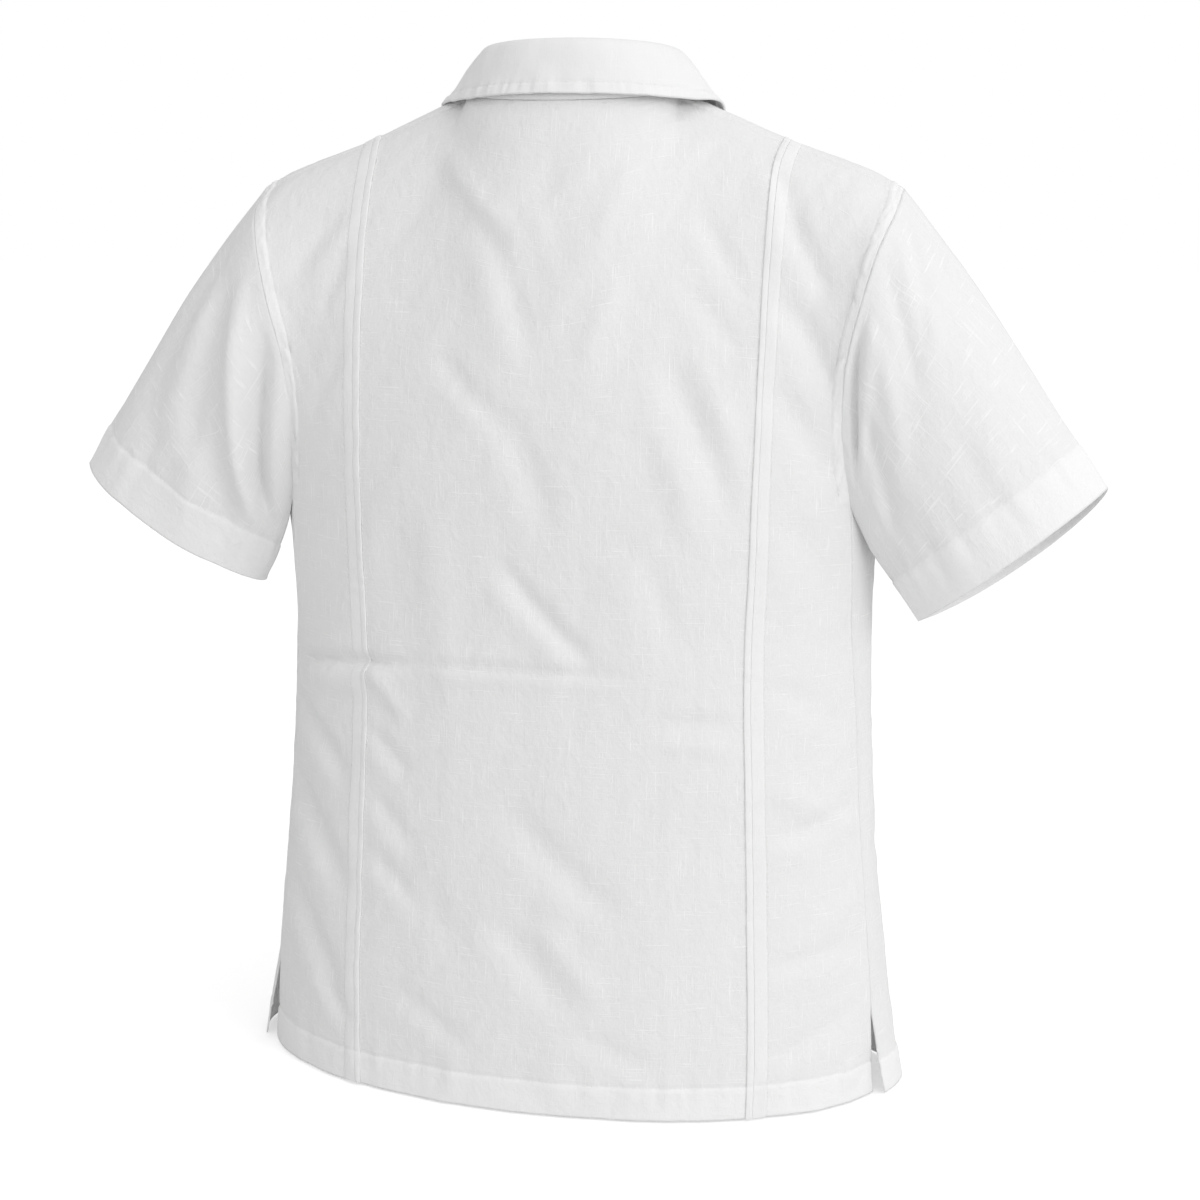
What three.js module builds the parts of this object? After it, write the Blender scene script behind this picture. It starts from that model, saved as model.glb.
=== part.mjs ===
// A short-sleeved guayabera shirt, size L, filled out as if worn.
// Millimetres, +Z up. The front faces -Y and the wearer's left is +X.
// The origin is on the shoulder line, midway between the two neck points.
import * as THREE from 'three';

// ---------- driving sizes ----------

const WALL = 1.2; // one layer of cloth
const HEM_WALL = 2.2; // where the hem is turned up inside
const GAP = 0.3; // between pieces at a seam
const SEAM_TRIM = 0.2; // what each side gives to that gap, and a little for the facets
const ARMHOLE_TRIM = 1.2; // the same where the cloth bends sharply
const HEM_Z = -739;
const VENT_Z = -671; // top of the side vents
const ARMPIT_Z = -292;
const VENT_FLARE = 9; // how far the front stands away at the foot of a vent
const HEM_BAND = 24;
const NECK = { half: 78, y: 6, z: -1, backY: 64, backZ: -10, frontY: -77, frontZ: -70 };
const TIP = { x: 240, y: 3, z: -70.5 }; // end of the shoulder seam
const TUCK_SHARE = 0.55; // where a tuck lies between the centre line and the side seam
const NECK_SHARE = 0.3; // where the neck point lies
const TUCK = { pin: 5, pinThick: 1.5, band: 9.5, bandThick: 1.0, between: 0.4, leftShift: -7 };
const OVERLAP_SHARE = 0.053; // each front goes about 15 mm past the centre line
const BUTTON = { radius: 5.5, thick: 2.4, rim: 1.1, dish: 0.8, bevel: 0.7, count: 7, firstZ: -100, lastZ: -622 };
const CLOTH_COLOUR = 0xf1f0ee;
const BUTTON_COLOUR = 0xf3efe4;

// Sections of the body, one for each height. width and wide are half the widths of the back
// and the front, back and front are the depths, and seam, left and right are the angles of
// the side seam and the two tucks from the centre back line, in degrees.
const TORSO = [
  { z: -739, width: 245, wide: 254, back: 121, front: 132, seam: 77, left: 36.5, right: 39 },
  { z: -683, width: 242, wide: 248, back: 118, front: 131, seam: 77, left: 37.5, right: 39.5 },
  { z: -604, width: 235.5, wide: 239.5, back: 112, front: 128, seam: 77, left: 39, right: 40 },
  { z: -526, width: 228, wide: 230.5, back: 108, front: 126, seam: 77, left: 39.5, right: 40.5 },
  { z: -448, width: 223.5, wide: 225.5, back: 105, front: 124, seam: 76.5, left: 40, right: 40.5 },
  { z: -390, width: 222.5, wide: 224.5, back: 104, front: 122, seam: 73.5, left: 40.5, right: 40.5 },
  { z: -340, width: 225.5, wide: 226, back: 104, front: 121, seam: 71, left: 40.4, right: 40.4 },
  { z: -292, width: 228, wide: 228, back: 105, front: 121, seam: 68, left: 40.4, right: 40.4 },
];
const SIDE_Y = -10; // the sides lie a little forward of the middle

// The shoulder seam, from the neck point to the shoulder tip.
const SHOULDER = [
  { share: 0.3, x: 78, y: 6, z: -1 },
  { share: 0.42, x: 113, y: 3, z: -16 },
  { share: 0.55, x: 154.5, y: 0.5, z: -34 },
  { share: 0.78, x: 200, y: 0, z: -50.5 },
  { share: 0.9, x: 223, y: 1, z: -59.8 },
  { share: 1, x: TIP.x, y: TIP.y, z: TIP.z },
];

// Armhole edges from the underarm (along 0) to the shoulder tip (along 1). turn is the angle,
// at the armpit level, of the cloth that hangs below each place.
const ARMHOLE = {
  back: [
    { along: 0, x: 211.4, y: 31.9, z: -292, turn: 68 },
    { along: 0.197, x: 206.5, y: 47, z: -243, turn: 64 },
    { along: 0.392, x: 209.5, y: 58, z: -195, turn: 62 },
    { along: 0.566, x: 219, y: 63.5, z: -152, turn: 62 },
    { along: 0.733, x: 229.5, y: 54.5, z: -112, turn: 62 },
    { along: 0.863, x: 237.5, y: 33, z: -88, turn: 62 },
    { along: 1, x: TIP.x, y: TIP.y, z: TIP.z, turn: 62 },
  ],
  front: [
    { along: 0, x: 211.4, y: 31.9, z: -292, turn: 68 },
    { along: 0.107, x: 226.5, y: 8, z: -283, turn: 84 },
    { along: 0.231, x: 227, y: -24, z: -264, turn: 99 },
    { along: 0.367, x: 217.5, y: -47, z: -231, turn: 111 },
    { along: 0.51, x: 209, y: -57, z: -190, turn: 117 },
    { along: 0.65, x: 211, y: -55, z: -148, turn: 118 },
    { along: 0.782, x: 222, y: -43, z: -112, turn: 115 },
    { along: 0.909, x: 234, y: -20, z: -84, turn: 112 },
    { along: 1, x: TIP.x, y: TIP.y, z: TIP.z, turn: 110 },
  ],
};

// How the cloth arrives at the neck and shoulder seam: rise is the pull up from the armpit
// level, roll and lift are the pull towards the seam and up at the seam.
const ARRIVAL = {
  back: [
    { share: 0, rise: 300, roll: 70, lift: 190 },
    { share: 0.3, rise: 330, roll: 130, lift: 90 },
    { share: 0.55, rise: 350, roll: 146, lift: 23 },
    { share: 1, rise: 330, roll: 120, lift: 10 },
  ],
  front: [
    { share: 0, rise: 230, roll: 40, lift: 190 },
    { share: 0.3, rise: 330, roll: 120, lift: 110 },
    { share: 0.55, rise: 350, roll: 130, lift: 60 },
    { share: 1, rise: 330, roll: 110, lift: 40 },
  ],
};

// Hem rings of the sleeves: top and under are the ends of the long axis, back and front are
// the half depths, droop is how far the front of the hem hangs lower along the sleeve. crown
// and sag are how full the cloth is on the shoulder and under the arm.
const SLEEVES = {
  left: {
    side: 1, top: [394, 0, -282], under: [250.5, 0, -371], back: 50, front: 65, droop: 10, crown: 0.12, sag: 0.25,
  },
  right: {
    side: -1, top: [390, 0, -278.5], under: [261.1, 0, -379.4], back: 50, front: 65, droop: 17, crown: 0.07, sag: 0.2,
  },
};

// The largest soft troughs and ridges of the back, in the wearer's x and z: depth is inward.
const BACK_FOLDS = [
  { x0: 200, z0: -408, x1: 10, z1: -414, depth: 3.2, width: 14 },
  { x0: 60, z0: -345, x1: -15, z1: -418, depth: 3, width: 18 },
  { x0: 95, z0: -185, x1: 35, z1: -270, depth: -2.5, width: 26 },
  { x0: 60, z0: -500, x1: -45, z1: -590, depth: 3, width: 26 },
  { x0: 205, z0: -440, x1: 165, z1: -570, depth: 4, width: 20 },
  { x0: 210, z0: -520, x1: 172, z1: -650, depth: 4, width: 18 },
  { x0: -185, z0: -90, x1: -205, z1: -170, depth: 3, width: 12 },
  { x0: -120, z0: -470, x1: -190, z1: -560, depth: -3, width: 28 },
];

const ROWS = {
  body: [HEM_Z, HEM_Z + HEM_BAND, VENT_Z, -630, -580, -530, -480, -440, -414, -388, -345, ARMPIT_Z],
  yoke: 10, // steps from the armpit level to the seam, and half the steps round an armhole
};
const BACK_SHARES = [0, 0.13, 0.26, 0.4, 0.55, 0.6, 0.7, 0.8, 0.9, 1];
const FRONT_SHARES = [OVERLAP_SHARE, 0.1, 0.2, 0.3, 0.42, 0.55, 0.6, 0.7, 0.8, 0.9, 1];

// ---------- helpers ----------

const radians = THREE.MathUtils.degToRad;
const clamp = THREE.MathUtils.clamp;
const smooth = THREE.MathUtils.smoothstep;
const point = (x, y, z) => new THREE.Vector3(x, y, z);

// Cubic from p0 to p1 with the pulls m0 and m1.
function pulled(t, p0, m0, m1, p1) {
  const t2 = t * t;
  const t3 = t2 * t;
  return point(0, 0, 0)
    .addScaledVector(p0, 2 * t3 - 3 * t2 + 1)
    .addScaledVector(m0, t3 - 2 * t2 + t)
    .addScaledVector(m1, t3 - t2)
    .addScaledVector(p1, 3 * t2 - 2 * t3);
}

// A smooth value of one column of a table, at a value of its key column.
function column(table, key, name, at) {
  const last = table.length - 1;
  const slope = (i, j) => (table[j][name] - table[i][name]) / (table[j][key] - table[i][key]);
  let i = 0;
  while (i < last - 1 && at > table[i + 1][key]) i += 1;
  const step = table[i + 1][key] - table[i][key];
  const here = slope(i, i + 1);
  const before = i > 0 ? (slope(i - 1, i) + here) / 2 : here;
  const after = i < last - 1 ? (slope(i + 1, i + 2) + here) / 2 : here;
  const t = (at - table[i][key]) / step;
  return table[i][name]
    + step * (t * before + t * t * (3 * here - 2 * before - after) + t * t * t * (before + after - 2 * here));
}

const place = (table, key, at) => point(
  column(table, key, 'x', at),
  column(table, key, 'y', at),
  column(table, key, 'z', at),
);

// ---------- the body's surface ----------
// A place on it is a signed share, 0 on the centre line and 1 or -1 at the side seam or
// armhole, and a height: 0 to 1 from hem to armpit level, 1 to 2 on to the neck and shoulder.

function torsoPoint(face, signed, z, edge = column(TORSO, 'z', 'seam', z)) {
  const value = (name) => column(TORSO, 'z', name, z);
  const share = Math.abs(signed);
  const side = signed < 0 ? -1 : 1;
  const seam = face === 'back' ? edge : 180 - edge;
  const tuck = face === 'back' ? value(side > 0 ? 'left' : 'right') : value('right');
  const angle = share < TUCK_SHARE
    ? tuck * share / TUCK_SHARE
    : tuck + (seam - tuck) * (share - TUCK_SHARE) / (1 - TUCK_SHARE);
  const turn = radians(angle);
  const towards = Math.cos(turn) * (face === 'back' ? 1 : -1);
  const forward = smooth(-towards, -0.25, 0.2);
  const width = value('width') + (value('wide') - value('width')) * forward;
  const depth = towards > 0 ? value('back') : value('front');
  const opened = face === 'front' ? clamp((VENT_Z - z) / (VENT_Z - HEM_Z), 0, 1) : 0;
  const x = width * Math.sin(turn) + VENT_FLARE * opened * share ** 4;
  return point(side * x, towards * depth + SIDE_Y * Math.sin(turn) ** 4, z);
}

function topPoint(face, signed) {
  const share = Math.abs(signed);
  const side = signed < 0 ? -1 : 1;
  if (share > NECK_SHARE) {
    const spot = place(SHOULDER, 'share', share);
    spot.x *= side;
    return spot;
  }
  const turn = radians(90) * share / NECK_SHARE;
  const deepY = face === 'back' ? NECK.backY : NECK.frontY;
  const deepZ = face === 'back' ? NECK.backZ : NECK.frontZ;
  const round = Math.cos(turn);
  const x = side * NECK.half * Math.sin(turn);
  return point(x, NECK.y + (deepY - NECK.y) * round, NECK.z + (deepZ - NECK.z) * round);
}

function upperPoint(face, signed, t) {
  const share = Math.abs(signed);
  const edge = column(ARMHOLE[face], 'along', 'turn', t);
  const base = torsoPoint(face, signed, ARMPIT_Z, edge);
  const below = torsoPoint(face, signed, ARMPIT_Z - 1, edge);
  const rise = column(ARRIVAL[face], 'share', 'rise', share);
  const up = base.clone().sub(below).multiplyScalar(rise);
  const towards = face === 'back' ? -1 : 1;
  const roll = column(ARRIVAL[face], 'share', 'roll', share);
  const arrive = point(0, towards * roll, column(ARRIVAL[face], 'share', 'lift', share));
  return pulled(t, base, up, arrive, topPoint(face, signed));
}

function smoothPoint(face, signed, height) {
  if (height <= 1) return torsoPoint(face, signed, rowZ(height));
  const t = height - 1;
  const pull = place(ARMHOLE[face], 'along', t).sub(upperPoint(face, 1, t));
  if (signed < 0) pull.x *= -1;
  return upperPoint(face, signed, t).addScaledVector(pull, signed ** 4);
}

// Heights from 0 to 1 run evenly through the body's rows.
function rowZ(height) {
  const rows = ROWS.body;
  const at = clamp(height, 0, 1) * (rows.length - 1);
  const i = Math.min(Math.floor(at), rows.length - 2);
  return rows[i] + (rows[i + 1] - rows[i]) * (at - i);
}

function outward(surface, a, b, reach = 0.004) {
  const alongA = surface(a + reach, b).sub(surface(a - reach, b));
  const alongB = surface(a, b + reach).sub(surface(a, b - reach));
  return alongA.cross(alongB).normalize();
}

function bodyNormal(face, signed, height) {
  const inside = clamp(height, 0.005, 1.995);
  const normal = outward((a, b) => smoothPoint(face, a, b), clamp(signed, -0.995, 0.995), inside);
  return face === 'back' ? normal.negate() : normal;
}

// How far the folds push the back inwards at a place.
function foldDepth(x, z) {
  let depth = 0;
  for (const fold of BACK_FOLDS) {
    const runX = fold.x1 - fold.x0;
    const runZ = fold.z1 - fold.z0;
    const t = clamp(((x - fold.x0) * runX + (z - fold.z0) * runZ) / (runX ** 2 + runZ ** 2), 0, 1);
    const away = Math.hypot(x - fold.x0 - t * runX, z - fold.z0 - t * runZ) / fold.width;
    depth += fold.depth * Math.exp(-away * away) * Math.sin(Math.PI * (0.15 + 0.7 * t));
  }
  return depth;
}

function bodyPoint(face, signed, height, out = 0) {
  const spot = smoothPoint(face, signed, height);
  const normal = bodyNormal(face, signed, height);
  const quiet = 1 - smooth(Math.abs(signed), 0.86, 0.97);
  const fold = face === 'back' ? foldDepth(spot.x, spot.z) * quiet : 0;
  return spot.addScaledVector(normal, out - fold);
}

// ---------- making solids ----------

// A closed wall from rows of inner and outer points; around joins the last column to the first.
function wall(name, inner, outer, around = false, colour = CLOTH_COLOUR) {
  const rows = inner.length;
  const columns = inner[0].length;
  const positions = [];
  for (const layer of [inner, outer]) {
    for (const row of layer) for (const p of row) positions.push(p.x, p.y, p.z);
  }
  const at = (layer, row, col) => layer * rows * columns + row * columns + (col % columns);
  const index = [];
  const quad = (a, b, c, d) => index.push(a, b, c, a, c, d);
  const spans = around ? columns : columns - 1;
  for (let r = 0; r < rows - 1; r += 1) {
    for (let c = 0; c < spans; c += 1) {
      quad(at(1, r, c), at(1, r, c + 1), at(1, r + 1, c + 1), at(1, r + 1, c));
      quad(at(0, r, c), at(0, r + 1, c), at(0, r + 1, c + 1), at(0, r, c + 1));
    }
  }
  for (let c = 0; c < spans; c += 1) {
    quad(at(0, 0, c), at(0, 0, c + 1), at(1, 0, c + 1), at(1, 0, c));
    quad(at(0, rows - 1, c + 1), at(0, rows - 1, c), at(1, rows - 1, c), at(1, rows - 1, c + 1));
  }
  if (!around) {
    for (let r = 0; r < rows - 1; r += 1) {
      quad(at(0, r + 1, 0), at(0, r, 0), at(1, r, 0), at(1, r + 1, 0));
      quad(at(0, r, columns - 1), at(0, r + 1, columns - 1), at(1, r + 1, columns - 1), at(1, r, columns - 1));
    }
  }
  const geometry = new THREE.BufferGeometry();
  geometry.setAttribute('position', new THREE.Float32BufferAttribute(positions, 3));
  geometry.setIndex(index);
  return piece(name, geometry, colour);
}

function piece(name, geometry, colour = CLOTH_COLOUR, roughness = 0.9) {
  const material = new THREE.MeshStandardMaterial({ color: colour, roughness, metalness: 0 });
  const mesh = new THREE.Mesh(geometry, material);
  mesh.name = name;
  return mesh;
}

// Moves a row's end points, or the first and last rows, back from the seam by half the gap.
const drawIn = (edge, next, distance = SEAM_TRIM) => edge.addScaledVector(next.clone().sub(edge).normalize(), distance);

function trim(grid, around = false, first = SEAM_TRIM) {
  const last = grid.length - 1;
  for (let c = 0; c < grid[0].length; c += 1) {
    drawIn(grid[0][c], grid[1][c], first);
    drawIn(grid[last][c], grid[last - 1][c]);
  }
  if (around) return;
  grid.forEach((row, r) => {
    const atArmhole = r >= ROWS.body.length - 1;
    drawIn(row[0], row[1], atArmhole ? ARMHOLE_TRIM : SEAM_TRIM);
    drawIn(row[row.length - 1], row[row.length - 2], atArmhole ? ARMHOLE_TRIM : SEAM_TRIM);
  });
}

// ---------- back and fronts ----------

const bodyHeights = () => {
  const heights = [];
  for (let i = 0; i < ROWS.body.length; i += 1) heights.push(i / (ROWS.body.length - 1));
  for (let i = 1; i <= ROWS.yoke; i += 1) heights.push(1 + i / ROWS.yoke);
  return heights;
};
const hemRow = 1 / (ROWS.body.length - 1);

// Seams are mitred: the walls that meet there are thickened in the same direction.
function seamNormal(face, signed, height) {
  const other = face === 'back' ? 'front' : 'back';
  const own = bodyNormal(face, signed, height);
  const sum = own.clone();
  const atSide = Math.abs(signed) === 1;
  const atShoulder = height === 2 && Math.abs(signed) > NECK_SHARE;
  if (atShoulder || (atSide && height <= 1)) sum.add(bodyNormal(other, signed, height));
  if (atSide && height >= 1) {
    const round = face === 'back' ? (2 - height) / 2 : height / 2;
    sum.add(sleeveNormal(signed > 0 ? SLEEVES.left : SLEEVES.right, round % 1, 0));
  }
  sum.normalize();
  return sum.multiplyScalar(1 / Math.max(sum.dot(own), 0.7));
}

function panel(name, face, shares, lift) {
  const inner = [];
  const outer = [];
  for (const height of bodyHeights()) {
    const innerRow = [];
    const outerRow = [];
    for (const share of shares) {
      const turnedUp = height <= hemRow + 1e-6 && lift(share) === 0;
      const thick = turnedUp ? HEM_WALL - WALL / 2 : WALL / 2;
      const spot = bodyPoint(face, share, height);
      const normal = seamNormal(face, share, height);
      innerRow.push(spot.clone().addScaledVector(normal, lift(share) - thick));
      outerRow.push(spot.clone().addScaledVector(normal, lift(share) + WALL / 2));
    }
    inner.push(innerRow);
    outer.push(outerRow);
  }
  trim(inner);
  trim(outer);
  return face === 'back' ? wall(name, flip(inner), flip(outer)) : wall(name, inner, outer);
}

const flip = (grid) => grid.map((row) => [...row].reverse());

const mirrored = (shares) => [...shares.slice(shares[0] === 0 ? 1 : 0)].reverse().map((s) => -s);
const level = () => 0;

// The left front lies over the right one, so near the centre line each gives way to the other.
const STEP_ASIDE = (WALL + GAP) / 2;
const frontLift = (side) => (share) => side * STEP_ASIDE * (1 - smooth(share * side, 0.07, 0.2));

// ---------- tucks ----------

// A strip that lies on a panel, from one distance outside the tuck line to another.
function strip(name, face, side, from, to, thick) {
  const rowOf = (height, out) => {
    const step = 0.01;
    const start = bodyPoint(face, side * TUCK_SHARE, height);
    const next = bodyPoint(face, side * (TUCK_SHARE + step), height);
    const perShare = start.distanceTo(next) / step;
    const shares = [TUCK_SHARE + from / perShare, TUCK_SHARE + to / perShare];
    const row = shares.map((share) => bodyPoint(face, side * share, height, out));
    return (face === 'back') === (side > 0) ? row.reverse() : row;
  };
  const rest = WALL / 2 + 2 * GAP;
  const heights = bodyHeights();
  const inner = heights.map((height) => rowOf(height, rest));
  const outer = heights.map((height) => rowOf(height, rest + thick));
  for (const grid of [inner, outer]) {
    const last = grid.length - 1;
    grid[0].forEach((p, c) => drawIn(p, grid[1][c]));
    grid[last].forEach((p, c) => drawIn(p, grid[last - 1][c], 1.2));
  }
  return wall(name, inner, outer);
}

function tucks(face, sideName, side) {
  const pinFrom = face === 'back' && side > 0 ? TUCK.leftShift : 0;
  const bandFrom = pinFrom + TUCK.pin + TUCK.between;
  return [
    strip(`tuck_pin_${face}_${sideName}`, face, side, pinFrom, pinFrom + TUCK.pin, TUCK.pinThick),
    strip(`tuck_band_${face}_${sideName}`, face, side, bandFrom, bandFrom + TUCK.band, TUCK.bandThick),
  ];
}

// ---------- sleeves ----------
// round runs from 0 at the top, by the back, 0.5 at the underarm, and by the front to 1.

function armholePoint(side, round) {
  return round <= 0.5 ? bodyPoint('back', side, 2 - 2 * round) : bodyPoint('front', side, 2 * round);
}

const HEM_PINCH = 1.25; // over 1 the hem ring is sharper at its two ends

function hemRing(sleeve, round) {
  const top = point(sleeve.side * sleeve.top[0], sleeve.top[1], sleeve.top[2]);
  const under = point(sleeve.side * sleeve.under[0], sleeve.under[1], sleeve.under[2]);
  const middle = top.clone().add(under).multiplyScalar(0.5);
  const turn = 2 * Math.PI * round;
  const deep = Math.sign(Math.sin(turn)) * Math.abs(Math.sin(turn)) ** HEM_PINCH;
  const axis = sleeveAxis(sleeve);
  return middle
    .addScaledVector(top.clone().sub(under), Math.cos(turn) / 2)
    .add(point(0, deep * (deep > 0 ? sleeve.back : sleeve.front), 0))
    .addScaledVector(axis, deep < 0 ? -deep * sleeve.droop : 0);
}

function sleeveAxis(sleeve) {
  const across = point(sleeve.side * (sleeve.top[0] - sleeve.under[0]), 0, sleeve.top[2] - sleeve.under[2]);
  return point(across.z * sleeve.side, 0, -across.x * sleeve.side).normalize();
}

function sleevePoint(sleeve, round, t) {
  const turn = 2 * Math.PI * round;
  const from = armholePoint(sleeve.side, clamp(round, 0, 1));
  const to = hemRing(sleeve, round);
  const chord = to.clone().sub(from);
  const axis = sleeveAxis(sleeve);
  const above = point(-axis.z * sleeve.side, 0, axis.x * sleeve.side);
  const away = above.multiplyScalar(Math.cos(turn)).add(point(0, Math.sin(turn), 0));
  const low = (1 - Math.cos(turn)) / 2;
  const full = chord.length() * (sleeve.crown + (sleeve.sag - sleeve.crown) * low ** 8);
  const start = chord.clone().addScaledVector(away, full);
  const finish = chord.clone().addScaledVector(away, -full / 4);
  return pulled(t, from, start, finish, to);
}

function sleeveNormal(sleeve, round, t) {
  const surface = (a, b) => sleevePoint(sleeve, ((a % 1) + 1) % 1, b);
  const normal = outward(surface, round, Math.max(t, 0.005));
  return sleeve.side > 0 ? normal.negate() : normal;
}

const SLEEVE_STEPS = [0, 0.16, 0.33, 0.5, 0.66, 0.8, 0.9, 1];

function sleeve(name, settings) {
  const inner = [];
  const outer = [];
  const columns = 2 * ROWS.yoke;
  for (const t of SLEEVE_STEPS) {
    const thick = t >= 0.9 ? HEM_WALL - WALL / 2 : WALL / 2;
    const innerRow = [];
    const outerRow = [];
    for (let c = 0; c < columns; c += 1) {
      const round = c / columns;
      const spot = sleevePoint(settings, round, t);
      const face = round <= 0.5 ? 'back' : 'front';
      const height = round <= 0.5 ? 2 - 2 * round : 2 * round;
      const normal = t === 0 ? seamNormal(face, settings.side, height) : sleeveNormal(settings, round, t);
      innerRow.push(spot.clone().addScaledVector(normal, -thick));
      outerRow.push(spot.clone().addScaledVector(normal, WALL / 2));
    }
    inner.push(innerRow);
    outer.push(outerRow);
  }
  trim(inner, true, ARMHOLE_TRIM);
  trim(outer, true, ARMHOLE_TRIM);
  return settings.side > 0 ? wall(name, flip(inner), flip(outer), true) : wall(name, inner, outer, true);
}

// ---------- collar ----------
// turn is the angle round the neck from the centre back, in degrees, to 180 at the front.

const STAND_WALL = 2;
const LEAF_WALL = 1.6;
const COLLAR_ENDS = 177; // the two ends of the collar stop just short of the centre front
const FOLD = { x: -4, half: 67, y: -2, backY: 55, frontY: -70, z: 30, backZ: 33, frontZ: -32 };
const LEAF_SHIFT = -3.5; // the leaf sits a little to the wearer's right
// The leaf's edge: behind, it lies close outside the neckline, and in front on the fronts.
const LEAF_EDGE = [
  { turn: -25, x: -37, y: 63.2, z: -5.4 },
  { turn: 0, x: 0, y: 69, z: -5 },
  { turn: 25, x: 37, y: 63.2, z: -5.4 },
  { turn: 50, x: 66.5, y: 47.8, z: -6.4 },
  { turn: 70, x: 88.5, y: 23, z: -7 },
  { turn: 90, x: 104, y: 3.2, z: -8.4 },
  { turn: 112, x: 104.5, y: -15.5, z: -22 },
  { turn: 134, x: 98.5, y: -36, z: -45.5 },
  { turn: 156, x: 79, y: -57, z: -69 },
  { turn: COLLAR_ENDS, x: 50, y: -82.5, z: -87 },
];

function foldPoint(turn) {
  const c = Math.cos(radians(turn));
  const x = FOLD.half * Math.sin(radians(turn)) + FOLD.x;
  if (c > 0) return point(x, FOLD.y + (FOLD.backY - FOLD.y) * c, FOLD.z + (FOLD.backZ - FOLD.z) * c);
  return point(x, FOLD.y + (FOLD.y - FOLD.frontY) * c, FOLD.z + (FOLD.frontZ - FOLD.z) * (-c) ** 1.4);
}

function necklinePoint(turn) {
  const share = Math.abs(turn) < 90 ? Math.abs(turn) : 180 - Math.abs(turn);
  const side = turn < 0 ? -1 : 1;
  return topPoint(Math.abs(turn) < 90 ? 'back' : 'front', side * NECK_SHARE * share / 90);
}

function leafEdge(turn) {
  const around = Math.abs(turn);
  const spot = place(LEAF_EDGE, 'turn', around);
  spot.x = (turn < 0 ? -1 : 1) * spot.x + LEAF_SHIFT * (1 - smooth(around, 90, 140));
  return spot;
}

function standPoint(turn, t) {
  const foot = necklinePoint(turn).add(point(0, 0, 2 * WALL + GAP));
  const steep = smooth(Math.abs(turn), 85, 120);
  const head = foldPoint(turn).add(point(0, 0, -LEAF_WALL / 2 - GAP - 1 - 3.5 * steep));
  return foot.lerp(head, t);
}

function leafPoint(turn, t) {
  const from = foldPoint(turn);
  const to = leafEdge(turn);
  const away = point(Math.sin(radians(turn)), Math.cos(radians(turn)), 0);
  const front = smooth(Math.abs(turn), 90, 130);
  const start = away.multiplyScalar(30 + 20 * front).add(point(0, 0, 4 + 10 * front));
  const finish = to.clone().sub(from).multiplyScalar(1.1 - 0.4 * front);
  return pulled(t, from, start, finish, to);
}

// The leaf is drawn downwards and the stand upwards, so only one of them needs turning round.
function collarPiece(name, surface, steps, thick, turns) {
  const falls = surface === leafPoint;
  const inner = [];
  const outer = [];
  for (const t of steps) {
    const innerRow = [];
    const outerRow = [];
    for (const turn of turns) {
      const spot = surface(turn, t);
      const normal = outward((a, b) => surface(a * 180, b), turn / 180, clamp(t, 0.01, 0.99));
      if (falls) normal.negate();
      innerRow.push(spot.clone().addScaledVector(normal, -thick / 2));
      outerRow.push(spot.clone().addScaledVector(normal, thick / 2));
    }
    inner.push(innerRow);
    outer.push(outerRow);
  }
  return falls ? wall(name, flip(inner), flip(outer)) : wall(name, inner, outer);
}

function turnsAround(count) {
  const turns = [];
  for (let i = 0; i <= count; i += 1) turns.push(-COLLAR_ENDS + 2 * COLLAR_ENDS * i / count);
  return turns;
}

// ---------- buttons ----------

// How high on the centre front line a height in millimetres is.
function frontHeight(z) {
  let low = 0;
  let high = 2;
  while (high - low > 1e-4) {
    const middle = (low + high) / 2;
    if (smoothPoint('front', 0, middle).z < z) low = middle;
    else high = middle;
  }
  return low;
}

function button(name, z) {
  const seat = STEP_ASIDE + WALL / 2 + 2 * GAP;
  const height = frontHeight(z);
  const { radius, thick, rim, dish, bevel } = BUTTON;
  const profile = [[0, 0], [radius - bevel, 0], [radius, bevel], [radius, thick - bevel], [radius - bevel, thick],
    [radius - rim, thick], [radius - rim - bevel, thick - dish], [0, thick - dish]];
  const geometry = new THREE.LatheGeometry(profile.map(([r, y]) => new THREE.Vector2(r, y)), 12);
  const mesh = piece(name, geometry, BUTTON_COLOUR, 0.45);
  mesh.position.copy(bodyPoint('front', 0, height, seat));
  mesh.quaternion.setFromUnitVectors(point(0, 1, 0), bodyNormal('front', 0, height));
  return mesh;
}

// ---------- assembly ----------

const shirt = new THREE.Group();
shirt.add(
  panel('back', 'back', [...mirrored(BACK_SHARES), ...BACK_SHARES], level),
  panel('front_left', 'front', [-OVERLAP_SHARE, 0, ...FRONT_SHARES], frontLift(1)),
  panel('front_right', 'front', [...mirrored(FRONT_SHARES), 0, OVERLAP_SHARE], frontLift(-1)),
  sleeve('sleeve_left', SLEEVES.left),
  sleeve('sleeve_right', SLEEVES.right),
);
for (const face of ['back', 'front']) {
  shirt.add(...tucks(face, 'left', 1), ...tucks(face, 'right', -1));
}

shirt.add(
  collarPiece('collar_stand', standPoint, [0, 0.5, 1], STAND_WALL, turnsAround(28)),
  collarPiece('collar_leaf', leafPoint, [0, 0.15, 0.35, 0.6, 0.8, 1], LEAF_WALL, turnsAround(28)),
);
for (let i = 0; i < BUTTON.count; i += 1) {
  const share = i / (BUTTON.count - 1);
  shirt.add(button(`button_${i + 1}`, BUTTON.firstZ + (BUTTON.lastZ - BUTTON.firstZ) * share));
}

export default shirt;
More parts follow.
